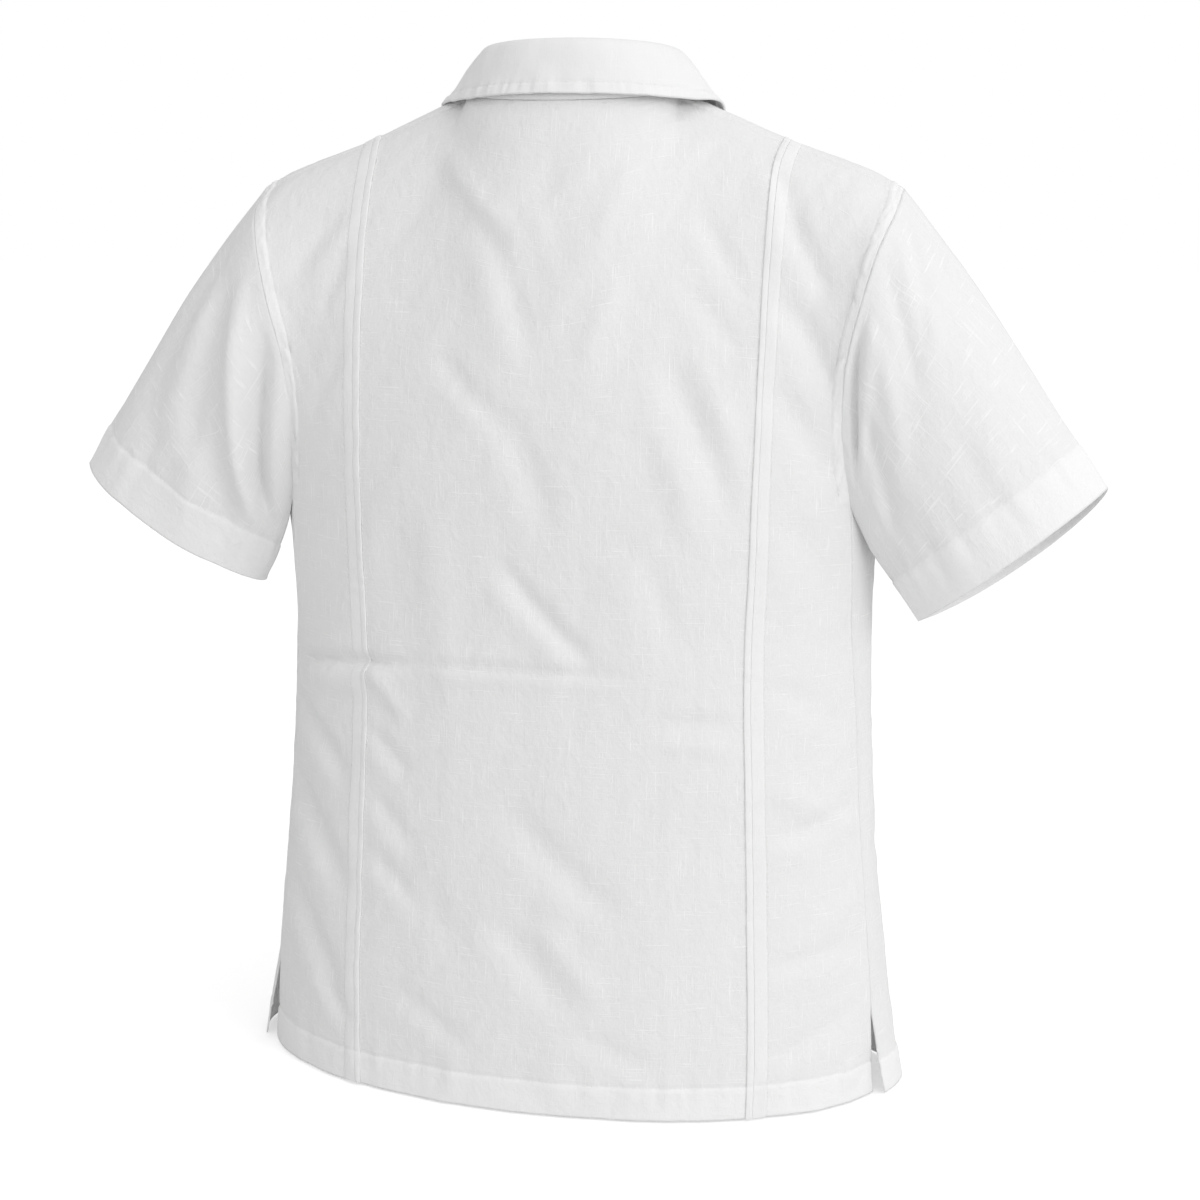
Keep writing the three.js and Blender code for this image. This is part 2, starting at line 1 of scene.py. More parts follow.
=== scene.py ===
# %% [markdown]
# # A guayabera shirt, filled out as if worn
#
# A guayabera is a light summer shirt with narrow tucks stitched down the back and the
# fronts, a straight hem with side vents, and a soft fall collar. This lesson builds one in
# white slubbed cotton. The pattern pieces are the ones a shirt maker cuts: a back, two
# fronts, two sleeves, a collar of two parts, and the strips of the tucks. Each becomes its
# own piece, drawn as a fine grid over the fitted form, with its folds, seams and puckers
# as real shape and its weave as a procedural material.

import math

import bpy
import numpy as np
from mathutils import Matrix, Vector


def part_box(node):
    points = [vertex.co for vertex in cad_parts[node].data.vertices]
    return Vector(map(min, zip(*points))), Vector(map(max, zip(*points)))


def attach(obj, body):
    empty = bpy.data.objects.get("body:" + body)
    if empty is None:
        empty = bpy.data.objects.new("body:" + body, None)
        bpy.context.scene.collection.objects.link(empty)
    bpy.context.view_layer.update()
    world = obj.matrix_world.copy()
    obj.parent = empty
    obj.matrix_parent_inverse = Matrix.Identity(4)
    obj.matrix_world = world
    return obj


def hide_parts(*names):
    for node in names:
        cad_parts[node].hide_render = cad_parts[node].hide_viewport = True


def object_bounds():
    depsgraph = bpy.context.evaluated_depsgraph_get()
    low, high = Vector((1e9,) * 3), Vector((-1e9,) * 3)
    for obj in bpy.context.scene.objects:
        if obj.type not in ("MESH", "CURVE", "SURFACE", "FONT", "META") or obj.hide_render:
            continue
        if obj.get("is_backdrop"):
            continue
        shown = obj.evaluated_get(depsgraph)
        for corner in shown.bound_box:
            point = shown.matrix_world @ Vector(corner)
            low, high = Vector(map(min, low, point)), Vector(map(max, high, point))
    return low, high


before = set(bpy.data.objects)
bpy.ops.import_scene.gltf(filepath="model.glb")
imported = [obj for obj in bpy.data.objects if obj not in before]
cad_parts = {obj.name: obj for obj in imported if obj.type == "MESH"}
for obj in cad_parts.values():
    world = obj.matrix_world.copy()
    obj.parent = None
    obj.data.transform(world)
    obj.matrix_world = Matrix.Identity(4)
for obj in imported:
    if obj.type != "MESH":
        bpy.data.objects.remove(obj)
cad_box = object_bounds()
print("the fitted frame spans", [[round(v, 3) for v in corner] for corner in cad_box])

# %% [markdown]
# ## The camera
#
# The shirt is seen from behind and slightly from the wearer's right. The camera stands above
# the shirt's middle and looks down a little. It is easiest to aim from three angles: where
# it stands round the shirt, how far it is turned aside, and how far it looks down.

# %% The camera
CAMERA = {"azimuth": 194, "away": 1.6027, "height": -0.1027, "yaw": 0.7202, "down": 9.6915, "roll": 0.3949}
LENS = 64.13


def make_camera():
    angles = {name: math.radians(CAMERA[name]) for name in ("azimuth", "yaw", "down", "roll")}
    round_shirt = Vector((math.sin(angles["azimuth"]), -math.cos(angles["azimuth"]), 0))
    up = Vector((0, 0, 1))
    forward = -round_shirt
    right = forward.cross(up)
    forward = math.cos(angles["yaw"]) * forward + math.sin(angles["yaw"]) * right
    right = forward.cross(up)
    look = math.cos(angles["down"]) * forward - math.sin(angles["down"]) * up
    over = right.cross(look)
    tilted = math.cos(angles["roll"]) * right + math.sin(angles["roll"]) * over
    over = math.cos(angles["roll"]) * over - math.sin(angles["roll"]) * right
    data = bpy.data.cameras.new("camera")
    data.lens = LENS
    data.sensor_width = 36
    camera = bpy.data.objects.new("camera", data)
    camera.matrix_world = Matrix((tilted, over, -look)).transposed().to_4x4()
    camera.location = round_shirt * CAMERA["away"] + Vector((0, 0, CAMERA["height"]))
    bpy.context.scene.collection.objects.link(camera)
    bpy.context.scene.camera = camera
    return camera


camera = make_camera()
print("camera at", [round(v, 3) for v in camera.location])

# %% [markdown]
# ## The sizes of the shirt
#
# Everything is in metres, with the front facing -Y and the wearer's left at +X. A table of
# level sections gives the body: half widths of back and front, their depths, and the
# angles, from the centre back line, of the side seam and of the two tucks. Short tables
# give the shoulder seam, the armholes, and how the cloth arrives at the neck and shoulder.

# %% The sizes of the shirt
WALL = 0.0012
HEM_Z = -0.739
VENT_Z = -0.671
ARMPIT_Z = -0.292
VENT_FLARE = 0.009
HEM_BAND = 0.024
SLEEVE_BAND = 0.037
ARMHOLE_BAND = 0.0095
TUCK_SHARE = 0.55
NECK_SHARE = 0.3
SIDE_Y = -0.010
OVERLAP_SHARE = 0.053
PLACKET = 0.030
STEP_ASIDE = 0.00075


def table(names, *rows):
    return {name: np.array(values, float) for name, values in zip(names.split(), zip(*rows))}


TORSO = table(
    "z width wide back front seam left right",
    (-0.739, 0.245, 0.254, 0.121, 0.132, 77, 36.5, 39),
    (-0.683, 0.242, 0.248, 0.118, 0.131, 77, 37.5, 39.5),
    (-0.604, 0.2355, 0.2395, 0.112, 0.128, 77, 39, 40),
    (-0.526, 0.228, 0.2305, 0.108, 0.126, 77, 39.5, 40.5),
    (-0.448, 0.2235, 0.2255, 0.105, 0.124, 76.5, 40, 40.5),
    (-0.390, 0.2225, 0.2245, 0.104, 0.122, 73.5, 40.5, 40.5),
    (-0.340, 0.2255, 0.226, 0.104, 0.121, 71, 40.4, 40.4),
    (-0.292, 0.228, 0.228, 0.105, 0.121, 68, 40.4, 40.4),
)
SHOULDER = table(
    "share x y z",
    (0.3, 0.078, 0.006, -0.001),
    (0.42, 0.113, 0.003, -0.016),
    (0.55, 0.1545, 0.0005, -0.034),
    (0.78, 0.200, 0, -0.0505),
    (0.9, 0.223, 0.001, -0.0598),
    (1, 0.240, 0.003, -0.0705),
)
ARMHOLE = {
    "back": table(
        "along x y z turn",
        (0, 0.2114, 0.0319, -0.292, 68),
        (0.197, 0.2065, 0.047, -0.243, 64),
        (0.392, 0.2095, 0.058, -0.195, 62),
        (0.566, 0.219, 0.0635, -0.152, 62),
        (0.733, 0.2295, 0.0545, -0.112, 62),
        (0.863, 0.2375, 0.033, -0.088, 62),
        (1, 0.240, 0.003, -0.0705, 62),
    ),
    "front": table(
        "along x y z turn",
        (0, 0.2114, 0.0319, -0.292, 68),
        (0.107, 0.2265, 0.008, -0.283, 84),
        (0.231, 0.227, -0.024, -0.264, 99),
        (0.367, 0.2175, -0.047, -0.231, 111),
        (0.51, 0.209, -0.057, -0.190, 117),
        (0.65, 0.211, -0.055, -0.148, 118),
        (0.782, 0.222, -0.043, -0.112, 115),
        (0.909, 0.234, -0.020, -0.084, 112),
        (1, 0.240, 0.003, -0.0705, 110),
    ),
}
NECK = {"half": 0.078, "y": 0.006, "z": -0.001, "back_y": 0.064, "back_z": -0.010, "front_y": -0.077, "front_z": -0.070}
ARRIVAL = {
    "back": table(
        "share rise roll lift",
        (0, 0.30, 0.070, 0.190),
        (0.3, 0.33, 0.130, 0.090),
        (0.55, 0.35, 0.146, 0.023),
        (1, 0.33, 0.120, 0.010),
    ),
    "front": table(
        "share rise roll lift",
        (0, 0.23, 0.040, 0.190),
        (0.3, 0.33, 0.120, 0.110),
        (0.55, 0.35, 0.130, 0.060),
        (1, 0.33, 0.110, 0.040),
    ),
}
print("tables for", len(TORSO["z"]), "levels of the body")

# %% [markdown]
# ## Smooth curves through a few sizes
#
# A maker's pattern is a few measured points joined by smooth lines. `column` reads a table
# that way: a cubic through its rows, so seven or eight rows are enough for a whole side.

# %% Smooth curves through a few sizes
def column(rows, key, name, at):
    keys, values = rows[key], rows[name]
    slopes = np.diff(values) / np.diff(keys)
    leans = np.concatenate([slopes[:1], (slopes[:-1] + slopes[1:]) / 2, slopes[-1:]])
    i = np.clip(np.searchsorted(keys, at) - 1, 0, len(keys) - 2)
    step = keys[i + 1] - keys[i]
    t = (at - keys[i]) / step
    start, end, here = leans[i], leans[i + 1], slopes[i]
    return values[i] + step * (t * start + t**2 * (3 * here - 2 * start - end) + t**3 * (start + end - 2 * here))


def stack(x, y, z):
    return np.stack(np.broadcast_arrays(x, y, z), axis=-1).astype(float)


def place(rows, key, at):
    return stack(*(column(rows, key, name, at) for name in "xyz"))


def smooth(value, low, high):
    t = np.clip((value - low) / (high - low), 0, 1)
    return t * t * (3 - 2 * t)


def hill(value, wide):
    return np.exp(-((value / wide) ** 2))


def pulled(t, start, start_pull, end_pull, end):
    t = np.asarray(t)[..., None]
    first = start * (2 * t**3 - 3 * t**2 + 1) + start_pull * (t**3 - 2 * t**2 + t)
    return first + end_pull * (t**3 - t**2) + end * (3 * t**2 - 2 * t**3)


def unit(vectors):
    return vectors / np.maximum(np.linalg.norm(vectors, axis=-1, keepdims=True), 1e-9)


# %% [markdown]
# ## The form of the body
#
# A place on the body is a signed share, 0 on the centre line and 1 or -1 at the side seam
# or armhole, and a height, 0 to 1 from hem to armpit and 1 to 2 on to the neck and
# shoulder. Below the armpit the sections are ovals. Above it each share climbs along its
# own curve to the shoulder seam, and the outer ones are drawn in to the armhole.

# %% The form of the body
def torso_point(face, signed, z, edge=None):
    share = np.abs(signed)
    side = np.where(signed < 0, -1, 1)
    edge = column(TORSO, "z", "seam", z) if edge is None else edge
    seam = edge if face == "back" else 180 - edge
    right = column(TORSO, "z", "right", z)
    tuck = np.where(side > 0, column(TORSO, "z", "left", z), right) if face == "back" else right
    outer = tuck + (seam - tuck) * (share - TUCK_SHARE) / (1 - TUCK_SHARE)
    turn = np.radians(np.where(share < TUCK_SHARE, tuck * share / TUCK_SHARE, outer))
    towards = np.cos(turn) * (1 if face == "back" else -1)
    narrow, wide = column(TORSO, "z", "width", z), column(TORSO, "z", "wide", z)
    width = narrow + (wide - narrow) * smooth(-towards, -0.25, 0.2)
    depth = np.where(towards > 0, column(TORSO, "z", "back", z), column(TORSO, "z", "front", z))
    opened = np.clip((VENT_Z - z) / (VENT_Z - HEM_Z), 0, 1) if face == "front" else 0
    x = width * np.sin(turn) + VENT_FLARE * opened * share**4
    return stack(side * x, towards * depth + SIDE_Y * np.sin(turn) ** 4, z)


def top_point(face, signed):
    share = np.abs(signed)
    side = np.where(signed < 0, -1, 1)[..., None] * np.array([1, 0, 0]) + np.array([0, 1, 1])
    seam = place(SHOULDER, "share", np.maximum(share, NECK_SHARE))
    turn = np.pi / 2 * share / NECK_SHARE
    deep_y, deep_z = (NECK["back_y"], NECK["back_z"]) if face == "back" else (NECK["front_y"], NECK["front_z"])
    y = NECK["y"] + (deep_y - NECK["y"]) * np.cos(turn)
    z = NECK["z"] + (deep_z - NECK["z"]) * np.cos(turn)
    neck = stack(NECK["half"] * np.sin(turn), y, z)
    return np.where((share > NECK_SHARE)[..., None], seam, neck) * side


def rounded_top(face, signed):
    """The top line with its corner at the neck point rounded off, for the cloth below it."""
    steps = np.linspace(-0.16, 0.16, 9)
    weights = np.cos(steps / 0.2 * np.pi / 2)
    near = sum(w * top_point(face, signed + step) for w, step in zip(weights, steps)) / weights.sum()
    inner = smooth(np.abs(signed), 0.72, 0.6)[..., None]
    return top_point(face, signed) * (1 - inner) + near * inner


def upper_point(face, signed, t):
    share = np.abs(signed)
    edge = column(ARMHOLE[face], "along", "turn", t)
    step = 0.001
    base = torso_point(face, signed, ARMPIT_Z + 0 * t, edge)
    below = torso_point(face, signed, ARMPIT_Z - step + 0 * t, edge)
    up = (base - below) / step * column(ARRIVAL[face], "share", "rise", share)[..., None]
    inwards = -1 if face == "back" else 1
    roll = column(ARRIVAL[face], "share", "roll", share)
    arrive = stack(0, inwards * roll, column(ARRIVAL[face], "share", "lift", share))
    rounded = rounded_top(face, signed)
    at_top = smooth(t, 0.74, 1)[..., None]
    return pulled(t, base, up, arrive, rounded) + (top_point(face, signed) - rounded) * at_top


def smooth_point(face, signed, height):
    signed, height = np.broadcast_arrays(np.asarray(signed, float), np.asarray(height, float))
    z = HEM_Z + (ARMPIT_Z - HEM_Z) * np.clip(height, 0, 1)
    t = np.clip(height - 1, 0, 1)
    pull = place(ARMHOLE[face], "along", t) - upper_point(face, np.ones_like(t), t)
    pull[..., 0] *= np.where(signed < 0, -1, 1)
    upper = upper_point(face, signed, t) + pull * (signed**4)[..., None]
    return np.where((height <= 1)[..., None], torso_point(face, signed, z), upper)


def body_frame(face, signed, height):
    """The place, the outward normal, and how long a whole share and a whole height are there."""
    reach = 0.004
    s, h = np.clip(signed, -0.995, 0.995), np.clip(height, 0.005, 1.995)
    across = (smooth_point(face, s + reach, h) - smooth_point(face, s - reach, h)) / (2 * reach)
    rising = (smooth_point(face, s, h + reach) - smooth_point(face, s, h - reach)) / (2 * reach)
    normal = unit(np.cross(across, rising)) * (-1 if face == "back" else 1)
    return smooth_point(face, signed, height), normal, np.linalg.norm(across, axis=-1), np.linalg.norm(rising, axis=-1)


print("centre back of the neckline", smooth_point("back", 0.0, 2.0).round(4))

# %% [markdown]
# ## Folds
#
# Worn cotton hangs in soft diagonal troughs, with a low ridge beside each. Every row of
# these tables is one fold: where it starts and ends in the wearer's x and z, how deep it
# is, how wide, and how much it bows. The depths are uneven, as they are in cloth that was
# ironed and then put on. The fronts get folds of the same kind.

# %% Folds
FOLDS = {
    "back": table(
        "x0 z0 x1 z1 deep wide bow",
        (0.232, -0.428, 0.085, -0.413, 0.0058, 0.0060, 0.003),
        (0.110, -0.413, -0.085, -0.414, 0.0026, 0.0050, 0.002),
        (0.205, -0.440, 0.120, -0.432, -0.0022, 0.008, 0.000),
        (0.036, -0.325, -0.050, -0.414, 0.0046, 0.009, -0.004),
        (0.225, -0.450, 0.150, -0.515, 0.0050, 0.010, 0.004),
        (0.230, -0.505, 0.152, -0.605, 0.0062, 0.013, 0.006),
        (0.225, -0.590, 0.156, -0.690, 0.0050, 0.012, 0.004),
        (0.180, -0.660, 0.148, -0.700, 0.0030, 0.008, 0.000),
        (0.142, -0.415, 0.100, -0.460, -0.0026, 0.008, 0.002),
        (0.138, -0.462, 0.095, -0.502, 0.0026, 0.008, 0.000),
        (0.138, -0.510, 0.092, -0.560, 0.0024, 0.009, 0.002),
        (0.138, -0.555, 0.085, -0.605, 0.0026, 0.010, 0.002),
        (0.205, -0.140, 0.160, -0.085, 0.0030, 0.009, 0.003),
        (0.180, -0.170, 0.152, -0.108, 0.0022, 0.008, 0.002),
        (0.190, -0.240, 0.150, -0.180, 0.0024, 0.008, 0.002),
        (0.196, -0.300, 0.152, -0.250, 0.0016, 0.010, 0.002),
        (0.095, -0.030, 0.010, -0.110, -0.0026, 0.011, -0.006),
        (0.052, -0.085, 0.004, -0.200, 0.0032, 0.011, 0.005),
        (0.010, -0.080, -0.006, -0.145, -0.0018, 0.009, 0.002),
        (-0.050, -0.125, -0.024, -0.200, -0.0018, 0.010, 0.003),
        (-0.060, -0.045, -0.034, -0.115, -0.0016, 0.009, 0.000),
        (0.080, -0.182, 0.022, -0.238, 0.0026, 0.009, -0.003),
        (0.035, -0.215, -0.012, -0.325, 0.0030, 0.013, 0.005),
        (0.090, -0.270, 0.070, -0.470, -0.0022, 0.018, 0.004),
        (-0.080, -0.180, -0.140, -0.320, 0.0034, 0.011, 0.006),
        (-0.095, -0.165, -0.144, -0.278, -0.0024, 0.009, 0.005),
        (-0.070, -0.215, -0.118, -0.345, -0.0020, 0.011, 0.005),
        (-0.060, -0.300, -0.110, -0.420, 0.0016, 0.014, 0.004),
        (-0.096, -0.080, -0.143, -0.152, 0.0022, 0.008, 0.003),
        (-0.094, -0.135, -0.143, -0.192, 0.0020, 0.008, 0.003),
        (-0.150, -0.050, -0.178, -0.112, 0.0030, 0.008, 0.002),
        (-0.158, -0.085, -0.198, -0.152, 0.0038, 0.009, 0.004),
        (-0.162, -0.140, -0.205, -0.226, 0.0046, 0.011, 0.005),
        (-0.158, -0.200, -0.206, -0.290, 0.0030, 0.012, 0.004),
        (-0.164, -0.290, -0.215, -0.380, 0.0020, 0.014, 0.004),
        (0.030, -0.505, -0.075, -0.600, 0.0036, 0.015, -0.004),
        (0.004, -0.590, -0.055, -0.660, -0.0026, 0.012, 0.000),
        (0.040, -0.590, -0.030, -0.672, 0.0024, 0.012, 0.003),
        (0.100, -0.560, 0.050, -0.640, 0.0016, 0.014, 0.002),
        (-0.160, -0.536, -0.230, -0.508, 0.0028, 0.009, -0.003),
        (-0.158, -0.490, -0.228, -0.540, -0.0020, 0.010, 0.002),
        (-0.158, -0.628, -0.238, -0.612, 0.0024, 0.010, -0.003),
        (-0.160, -0.700, -0.232, -0.662, 0.0024, 0.010, -0.003),
        (-0.156, -0.415, -0.222, -0.462, 0.0014, 0.010, 0.002),
        (-0.150, -0.446, -0.075, -0.445, 0.0014, 0.007, 0.000),
        (-0.148, -0.466, -0.075, -0.461, -0.0012, 0.007, 0.000),
        (0.120, -0.655, 0.040, -0.702, 0.0020, 0.010, 0.002),
        (-0.020, -0.674, -0.100, -0.708, 0.0018, 0.010, 0.002),
    ),
    "front": table(
        "x0 z0 x1 z1 deep wide bow",
        (0.060, -0.115, 0.150, -0.255, 0.0030, 0.013, 0.006),
        (-0.055, -0.120, -0.140, -0.240, 0.0034, 0.012, -0.006),
        (0.165, -0.110, 0.205, -0.215, 0.0036, 0.010, 0.004),
        (-0.162, -0.095, -0.206, -0.190, 0.0032, 0.009, 0.004),
        (0.160, -0.180, 0.212, -0.275, 0.0028, 0.011, 0.004),
        (-0.165, -0.165, -0.212, -0.265, 0.0034, 0.010, 0.004),
        (0.040, -0.270, 0.130, -0.380, -0.0024, 0.015, 0.004),
        (-0.040, -0.330, -0.130, -0.430, 0.0026, 0.013, 0.004),
        (0.215, -0.395, 0.110, -0.470, 0.0032, 0.012, -0.004),
        (-0.215, -0.370, -0.105, -0.450, 0.0030, 0.012, 0.004),
        (0.225, -0.520, 0.155, -0.590, 0.0036, 0.013, 0.005),
        (-0.220, -0.480, -0.160, -0.570, 0.0030, 0.012, 0.005),
        (0.030, -0.470, 0.125, -0.560, 0.0022, 0.014, 0.003),
        (-0.030, -0.520, -0.120, -0.620, 0.0026, 0.013, 0.003),
        (0.235, -0.600, 0.165, -0.680, 0.0030, 0.012, 0.003),
        (-0.235, -0.590, -0.165, -0.650, 0.0026, 0.012, 0.003),
        (0.110, -0.600, 0.040, -0.690, -0.0020, 0.014, 0.003),
        (-0.040, -0.230, -0.070, -0.320, 0.0018, 0.012, 0.003),
        (0.070, -0.190, 0.090, -0.300, -0.0018, 0.012, 0.003),
    ),
}


def fold_field(rows, x, z):
    total = np.zeros(np.broadcast(x, z).shape)
    for x0, z0, x1, z1, deep, wide, bow in zip(*(rows[name] for name in "x0 z0 x1 z1 deep wide bow".split())):
        run = np.hypot(x1 - x0, z1 - z0)
        along = ((x - x0) * (x1 - x0) + (z - z0) * (z1 - z0)) / run**2
        aside = ((x - x0) * (z0 - z1) + (z - z0) * (x1 - x0)) / run + bow * 4 * along * (1 - along)
        strength = smooth(along, 0, 0.3) * smooth(1 - along, 0, 0.35)
        total += deep * strength * (hill(aside, 0.8 * wide) - 0.35 * hill(aside - 1.7 * wide, wide))
    return total


def soft_noise(u, v, cell, seed):
    """Soft random hills about one cell across, from -1 to 1."""
    lattice = np.random.default_rng(seed).uniform(-1, 1, (64, 64))
    a, b = np.asarray(u) / cell[0], np.asarray(v) / cell[1]
    i, j = np.floor(a).astype(int), np.floor(b).astype(int)
    p, q = smooth(a - i, 0, 1), smooth(b - j, 0, 1)
    corner = lambda di, dj: lattice[(i + di) % 64, (j + dj) % 64]
    near = corner(0, 0) * (1 - p) + corner(1, 0) * p
    far = corner(0, 1) * (1 - p) + corner(1, 1) * p
    return near * (1 - q) + far * q


print(len(FOLDS["back"]["x0"]), "folds on the back,", len(FOLDS["front"]["x0"]), "on the fronts")

# %% [markdown]
# ## Seams, bands and puckers
#
# Thread pulls cloth in as it is stitched and washed, so every stitched line runs in a small
# groove with short puckers across it, a few millimetres apart and never quite even. The
# hem is turned up and stands a little proud, a felled seam follows each armhole, and the
# side seams show as a narrow ridge. `pucker` makes the ripples from two layers of noise
# along the seam, and `relief` adds up everything that lifts or sinks the body's cloth. Its
# unevenness dies out at the shoulder seam, because the back and a front have to meet there.

# %% Seams, bands and puckers
def pucker(along, apart, seed):
    return 0.7 * soft_noise(along, 0 * along, (apart / 2, 1), seed) + 0.5 * soft_noise(along, 0 * along, (apart, 1), seed + 1)


def within(distance, wide):
    return smooth(distance, wide + 0.0012, wide - 0.0004)


def band(distance, wide, along, seed, apart=0.006, proud=0.0007, ripple=0.0010):
    """A doubled band of cloth along an edge: proud, rippled, and held down by its stitches."""
    reach = np.clip(distance / wide, 0, 1.6)
    rippled = ripple * pucker(along, apart, seed) * hill(reach - 0.85, 0.6)
    groove = 0.0008 * hill(distance - wide, 0.0012)
    return proud * within(distance, wide) + rippled - groove


def relief(face, signed, height, spot, wide, tall):
    x, z = spot[..., 0], spot[..., 2]
    share = np.abs(signed)
    from_side = (1 - share) * wide
    from_hem = z - HEM_Z
    from_top = (2 - height) * tall
    seed = 10 if face == "back" else 20
    quiet = 1 - 0.8 * smooth(share, 0.9, 1)
    push = -0.9 * fold_field(FOLDS[face], x, z) * quiet * smooth(from_hem, 0, 0.03) * smooth(from_top, 0, 0.03)
    calm = quiet * smooth(from_top, 0, 0.03)
    push += 0.0012 * soft_noise(x + 0.5 * z, z, (0.030, 0.060), seed) * calm
    push += 0.0005 * soft_noise(x + 0.7 * z, z, (0.010, 0.024), seed + 1) * calm
    push += band(from_hem, HEM_BAND, x + 0.3 * spot[..., 1], seed + 2, apart=0.013, ripple=0.0017) * (height < 1)
    at_armhole = smooth(height, 1.0, 1.04)
    push += band(from_side, ARMHOLE_BAND, height * tall, seed + 4, apart=0.0075, proud=0.0009, ripple=0.0012) * at_armhole
    ridge = 0.0007 * hill(from_side, 0.0028) * (1 + 0.35 * pucker(height * tall, 0.009, seed + 6))
    push += ridge * (1 - at_armhole) * smooth(z, VENT_Z - 0.01, VENT_Z)
    shoulder = band(from_top, 0.009, x, seed + 8, ripple=0.0005) * smooth(share, NECK_SHARE, NECK_SHARE + 0.02)
    return push + (shoulder if face == "back" else 0)


def body_point(face, signed, height, out=0.0):
    spot, normal, wide, tall = body_frame(face, signed, height)
    push = relief(face, signed, height, spot, wide, tall) + out
    return spot + normal * push[..., None]


print("hem corner of the back", body_point("back", np.array(1.0), np.array(0.0)).round(3))

# %% [markdown]
# ## From grid to cloth
#
# A cloth piece is a grid of points with quads between them. Its UV map is laid out in real
# metres along the cloth, so one weave has one scale on every piece. The grid is the middle
# of the cloth, and a Solidify modifier gives it the thickness of one layer, with a rim.

# %% From grid to cloth
def lengths(points, axis):
    steps = np.linalg.norm(np.diff(points, axis=axis), axis=-1)
    total = np.cumsum(steps, axis=axis)
    start = np.zeros_like(np.take(total, [0], axis=axis))
    return np.concatenate([start, total], axis=axis)


def flat_map(points):
    """Metres along the cloth, across from the middle column and up from the first row."""
    across = lengths(points, 1)
    middle = points.shape[1] // 2
    up = lengths(points, 0)
    return np.stack([across - across[:, middle : middle + 1], 0 * across + up[:, middle : middle + 1]], axis=-1)


def cloth_mesh(name, points, around=False, turned=False, doubled=0.0):
    """doubled is 1 where the cloth lies in two layers, as in a hem, and looks whiter."""
    if around:
        points = np.concatenate([points, points[:, :1]], axis=1)
    uv = flat_map(points)
    rows, cols = points.shape[:2]
    kept = cols - 1 if around else cols
    r, c = np.meshgrid(np.arange(rows - 1), np.arange(cols - 1), indexing="ij")
    corners = [(r, c), (r, c + 1), (r + 1, c + 1), (r + 1, c)]
    corners = corners[::-1] if turned else corners
    faces = np.stack([i * kept + j % kept for i, j in corners], axis=-1).reshape(-1, 4)
    spread = np.stack([uv[i, j] for i, j in corners], axis=-2).reshape(-1, 2)
    mesh = bpy.data.meshes.new(name)
    mesh.from_pydata(points[:, :kept].reshape(-1, 3).tolist(), [], faces.tolist())
    layer = mesh.uv_layers.new(name="cloth")
    layer.data.foreach_set("uv", spread.astype(np.float32).ravel())
    layers = mesh.attributes.new("doubled", "FLOAT", "POINT")
    layers.data.foreach_set("value", (doubled + np.zeros((rows, kept))).astype(np.float32).ravel())
    mesh.shade_smooth()
    piece = bpy.data.objects.new(name, mesh)
    bpy.context.scene.collection.objects.link(piece)
    return piece


def thicken(piece, thick=WALL):
    layer = piece.modifiers.new("layer", "SOLIDIFY")
    layer.thickness = thick
    layer.offset = 0
    return piece


def triangles(piece):
    shown = piece.evaluated_get(bpy.context.evaluated_depsgraph_get()).to_mesh()
    return sum(len(face.vertices) - 2 for face in shown.polygons)


def spans(*pieces_of_range):
    """Values that run on through several ranges, each with its own number of steps."""
    parts = [np.linspace(low, high, count, endpoint=False) for low, high, count in pieces_of_range]
    return np.concatenate([*parts, [pieces_of_range[-1][1]]])


HEM_TOP = (HEM_BAND + 0.004) / (ARMPIT_Z - HEM_Z)
HEIGHTS = spans((0, HEM_TOP, 18), (HEM_TOP, 1, 122), (1, 1.94, 76), (1.94, 2, 12))
HALF = spans((0, TUCK_SHARE, 42), (TUCK_SHARE, 0.93, 28), (0.93, 1, 14))
print(len(HEIGHTS), "rows and", 2 * len(HALF) - 1, "columns in the back")

# %% [markdown]
# ## The back
#
# The back is one piece from hem to shoulder seams. Its columns lie closer together beside
# the armholes and its rows beside the hem and the shoulder, where the bands and puckers
# are, and wider apart on the plain cloth between.

# %% The back
def doubled_body(face, shares, heights):
    shares, heights = np.broadcast_arrays(shares[None, :], heights[:, None])
    spot, _, wide, tall = body_frame(face, shares, heights)
    hem = within(spot[..., 2] - HEM_Z, HEM_BAND)
    armhole = within((1 - np.abs(shares)) * wide, ARMHOLE_BAND) * (heights > 1)
    placket = within((shares + OVERLAP_SHARE) * wide, PLACKET) * (face == "front") * (shares > -OVERLAP_SHARE - 0.01)
    return np.maximum(np.maximum(hem, armhole), placket)


made = {}
both = np.concatenate([-HALF[:0:-1], HALF])
back_grid = body_point("back", both[None, :], HEIGHTS[:, None])
made["back"] = thicken(cloth_mesh("back_cloth", back_grid, turned=True, doubled=doubled_body("back", both, HEIGHTS)))
print("back:", triangles(made["back"]), "triangles")

# %% [markdown]
# ## The fronts
#
# The left front laps over the right by about 15 mm each side of the centre line. Where
# they lie on each other each steps aside by half a layer. A stitched placket runs down the
# overlap: two lines of stitching with a faint band between them.

# %% The fronts
def front_out(side, signed, wide):
    """How far a front stands off the middle of the overlap, with its placket band."""
    inward = signed * side
    step = side * STEP_ASIDE * (1 - smooth(inward, 0.07, 0.2))
    from_edge = (inward + OVERLAP_SHARE) * wide
    return step, from_edge


def front_point(side, signed, height, out=0.0):
    spot, normal, wide, tall = body_frame("front", signed, height)
    step, from_edge = front_out(side, signed, wide)
    push = relief("front", signed, height, spot, wide, tall) + step + out
    push = push + band(from_edge, PLACKET, height * tall, 31 + side, apart=0.012, proud=0.0005, ripple=0.0005)
    return spot + normal * push[..., None]


